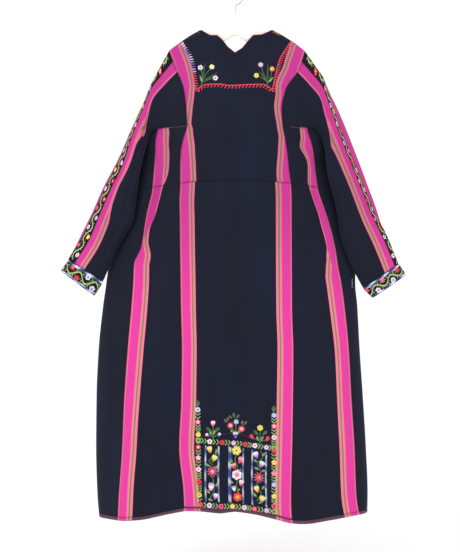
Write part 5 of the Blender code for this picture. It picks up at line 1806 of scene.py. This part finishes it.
class THOBE_OT_bodice(Operator):
    """Hang the back and front bodice, their side panels and the underarm pieces"""
    bl_idname = "thobe.bodice"
    bl_label = "Bodice"

    def execute(self, context):
        for face in ("back", "front"):
            hang_bodice(face)
        hang_panels([name for name in body_panels()
                     if "side_l" in name or "side_r" in name or "under" in name])
        return {"FINISHED"}


class THOBE_OT_skirt(Operator):
    """Hang the centre skirt panels, the gores and the hem binding"""
    bl_idname = "thobe.skirt"
    bl_label = "Skirt"

    def execute(self, context):
        hang_panels([name for name in body_panels() if "skirt" in name or "gore" in name])
        hang_hem()
        return {"FINISHED"}


class THOBE_OT_sleeves(Operator):
    """Hang both sleeves with their black strips and cuffs"""
    bl_idname = "thobe.sleeves"
    bl_label = "Sleeves"

    def execute(self, context):
        for side in ("left", "right"):
            hang_sleeve(side)
        return {"FINISHED"}


class THOBE_OT_neck_piping(Operator):
    """Sew the piping along the neckline"""
    bl_idname = "thobe.neck_piping"
    bl_label = "Neck piping"

    def execute(self, context):
        for face in ("back", "front"):
            pipe_neck(face)
        return {"FINISHED"}


class THOBE_OT_yoke_embroidery(Operator):
    """Embroider the yoke's ladder and its two sprays"""
    bl_idname = "thobe.yoke_embroidery"
    bl_label = "Yoke embroidery"

    def execute(self, context):
        sew_yoke(context.scene.thobe_threads.seed).make("yoke_embroidery", "navy_cotton")
        return {"FINISHED"}


class THOBE_OT_hem_embroidery(Operator):
    """Embroider the lower back panel"""
    bl_idname = "thobe.hem_embroidery"
    bl_label = "Hem panel embroidery"

    def execute(self, context):
        sew_hem_panel(context.scene.thobe_threads.seed + 1).make("hem_panel_embroidery", "navy_cotton")
        return {"FINISHED"}


class THOBE_OT_sleeve_embroidery(Operator):
    """Embroider the sleeves' black strips and the cuffs"""
    bl_idname = "thobe.sleeve_embroidery"
    bl_label = "Sleeve embroidery"

    def execute(self, context):
        seed = context.scene.thobe_threads.seed
        for number, side in enumerate(("left", "right")):
            sew_sleeve_strip(side, seed + 2 + number).make(f"strip_embroidery_{side}", "black_cotton")
            sew_cuff(side, seed + 4 + number).make(f"cuff_embroidery_{side}", "black_cotton")
        return {"FINISHED"}


class THOBE_OT_seam_stitches(Operator):
    """Sew the visible seam stitches and bartacks"""
    bl_idname = "thobe.seam_stitches"
    bl_label = "Seam stitches"

    def execute(self, context):
        sew_seams(context.scene.thobe_threads.seed + 6).make("seam_stitches", "navy_cotton")
        return {"FINISHED"}


class THOBE_OT_hanger(Operator):
    """Carve the hanger's arms and bend its hook"""
    bl_idname = "thobe.hanger"
    bl_label = "Coat hanger"

    def execute(self, context):
        carve_arms()
        bend_hook()
        return {"FINISHED"}


class THOBE_OT_stage(Operator):
    """Set up the floor, the light and the camera"""
    bl_idname = "thobe.stage"
    bl_label = "Stage"

    def execute(self, context):
        set_stage()
        return {"FINISHED"}


def aim(light, place, target):
    """Put a light at a place and point it at a target."""
    light.location = place
    light.rotation_euler = (Vector(target) - Vector(place)).to_track_quat("-Z", "Y").to_euler()


def set_stage():
    """White floor under the dress, a white surround, two soft lights and the camera of the photo's view."""
    studio = bpy.context.scene.thobe_studio
    angle = whole_turn(FLOOR_SIDES)
    rim = np.stack([np.cos(angle), np.sin(angle), np.zeros_like(angle)], axis=-1) * FLOOR_RADIUS
    mesh = bpy.data.meshes.new("floor")
    mesh.from_pydata(rim + np.array([0, 0, FLOOR_HEIGHT]), [], [np.arange(FLOOR_SIDES).tolist()])
    mesh.materials.append(studio_white())
    floor = bpy.data.objects.new("floor", mesh)
    bpy.context.scene.collection.objects.link(floor)
    world = bpy.data.worlds.new("white_surround")
    world.use_nodes = True
    background = world.node_tree.nodes["Background"]
    background.inputs["Color"].default_value = (1.0, 1.0, 1.0, 1.0)
    background.inputs["Strength"].default_value = studio.surround
    bpy.context.scene.world = world
    for name, place, size, power in (("key_light", KEY_PLACE, KEY_SIZE, studio.key),
                                     ("fill_light", FILL_PLACE, FILL_SIZE, studio.fill)):
        lamp = bpy.data.lights.new(name, "AREA")
        lamp.shape = "DISK"
        lamp.size = size
        lamp.energy = power
        light = bpy.data.objects.new(name, lamp)
        bpy.context.scene.collection.objects.link(light)
        aim(light, place, LIGHT_TARGET)
    lens = bpy.data.cameras.new("camera")
    lens.sensor_fit = "VERTICAL"
    lens.sensor_height = 36.0
    lens.lens = studio.lens
    lens.clip_end = 100.0
    camera = bpy.data.objects.new("camera", lens)
    camera.location = CAMERA_PLACE
    camera.rotation_euler = (math.pi / 2, 0, 0)
    bpy.context.scene.collection.objects.link(camera)
    bpy.context.scene.camera = camera
    bpy.context.scene.view_settings.view_transform = "Standard"
    bpy.context.scene.view_settings.look = "None"


class THOBE_PT_build(Panel):
    """Sidebar panel with one button for each step"""
    bl_idname = "THOBE_PT_build"
    bl_label = "Thobe dress"
    bl_space_type = "VIEW_3D"
    bl_region_type = "UI"
    bl_category = "Thobe"

    def draw(self, context):
        scene = context.scene
        for group in (scene.thobe_cloth, scene.thobe_threads, scene.thobe_hanger, scene.thobe_studio):
            box = self.layout.box()
            for name in group.__annotations__:
                box.prop(group, name)
        for step in STEPS:
            self.layout.operator(step.bl_idname)


SETTINGS = {"thobe_cloth": ThobeCloth, "thobe_threads": ThobeThreads, "thobe_hanger": ThobeHanger,
            "thobe_studio": ThobeStudio}
STEPS = (
    THOBE_OT_stage, THOBE_OT_hanger, THOBE_OT_bodice, THOBE_OT_skirt, THOBE_OT_sleeves, THOBE_OT_neck_piping,
    THOBE_OT_yoke_embroidery, THOBE_OT_hem_embroidery, THOBE_OT_sleeve_embroidery, THOBE_OT_seam_stitches,
)


def register():
    for group in (*SETTINGS.values(), *STEPS, THOBE_PT_build):
        bpy.utils.register_class(group)
    for name, group in SETTINGS.items():
        setattr(bpy.types.Scene, name, PointerProperty(type=group))


def unregister():
    for name in SETTINGS:
        delattr(bpy.types.Scene, name)
    for group in reversed((*SETTINGS.values(), *STEPS, THOBE_PT_build)):
        bpy.utils.unregister_class(group)


def main():
    """Register and run every step in order."""
    register()
    for step in STEPS:
        category, name = step.bl_idname.split(".")
        getattr(getattr(bpy.ops, category), name)()


if __name__ == "__main__":
    main()
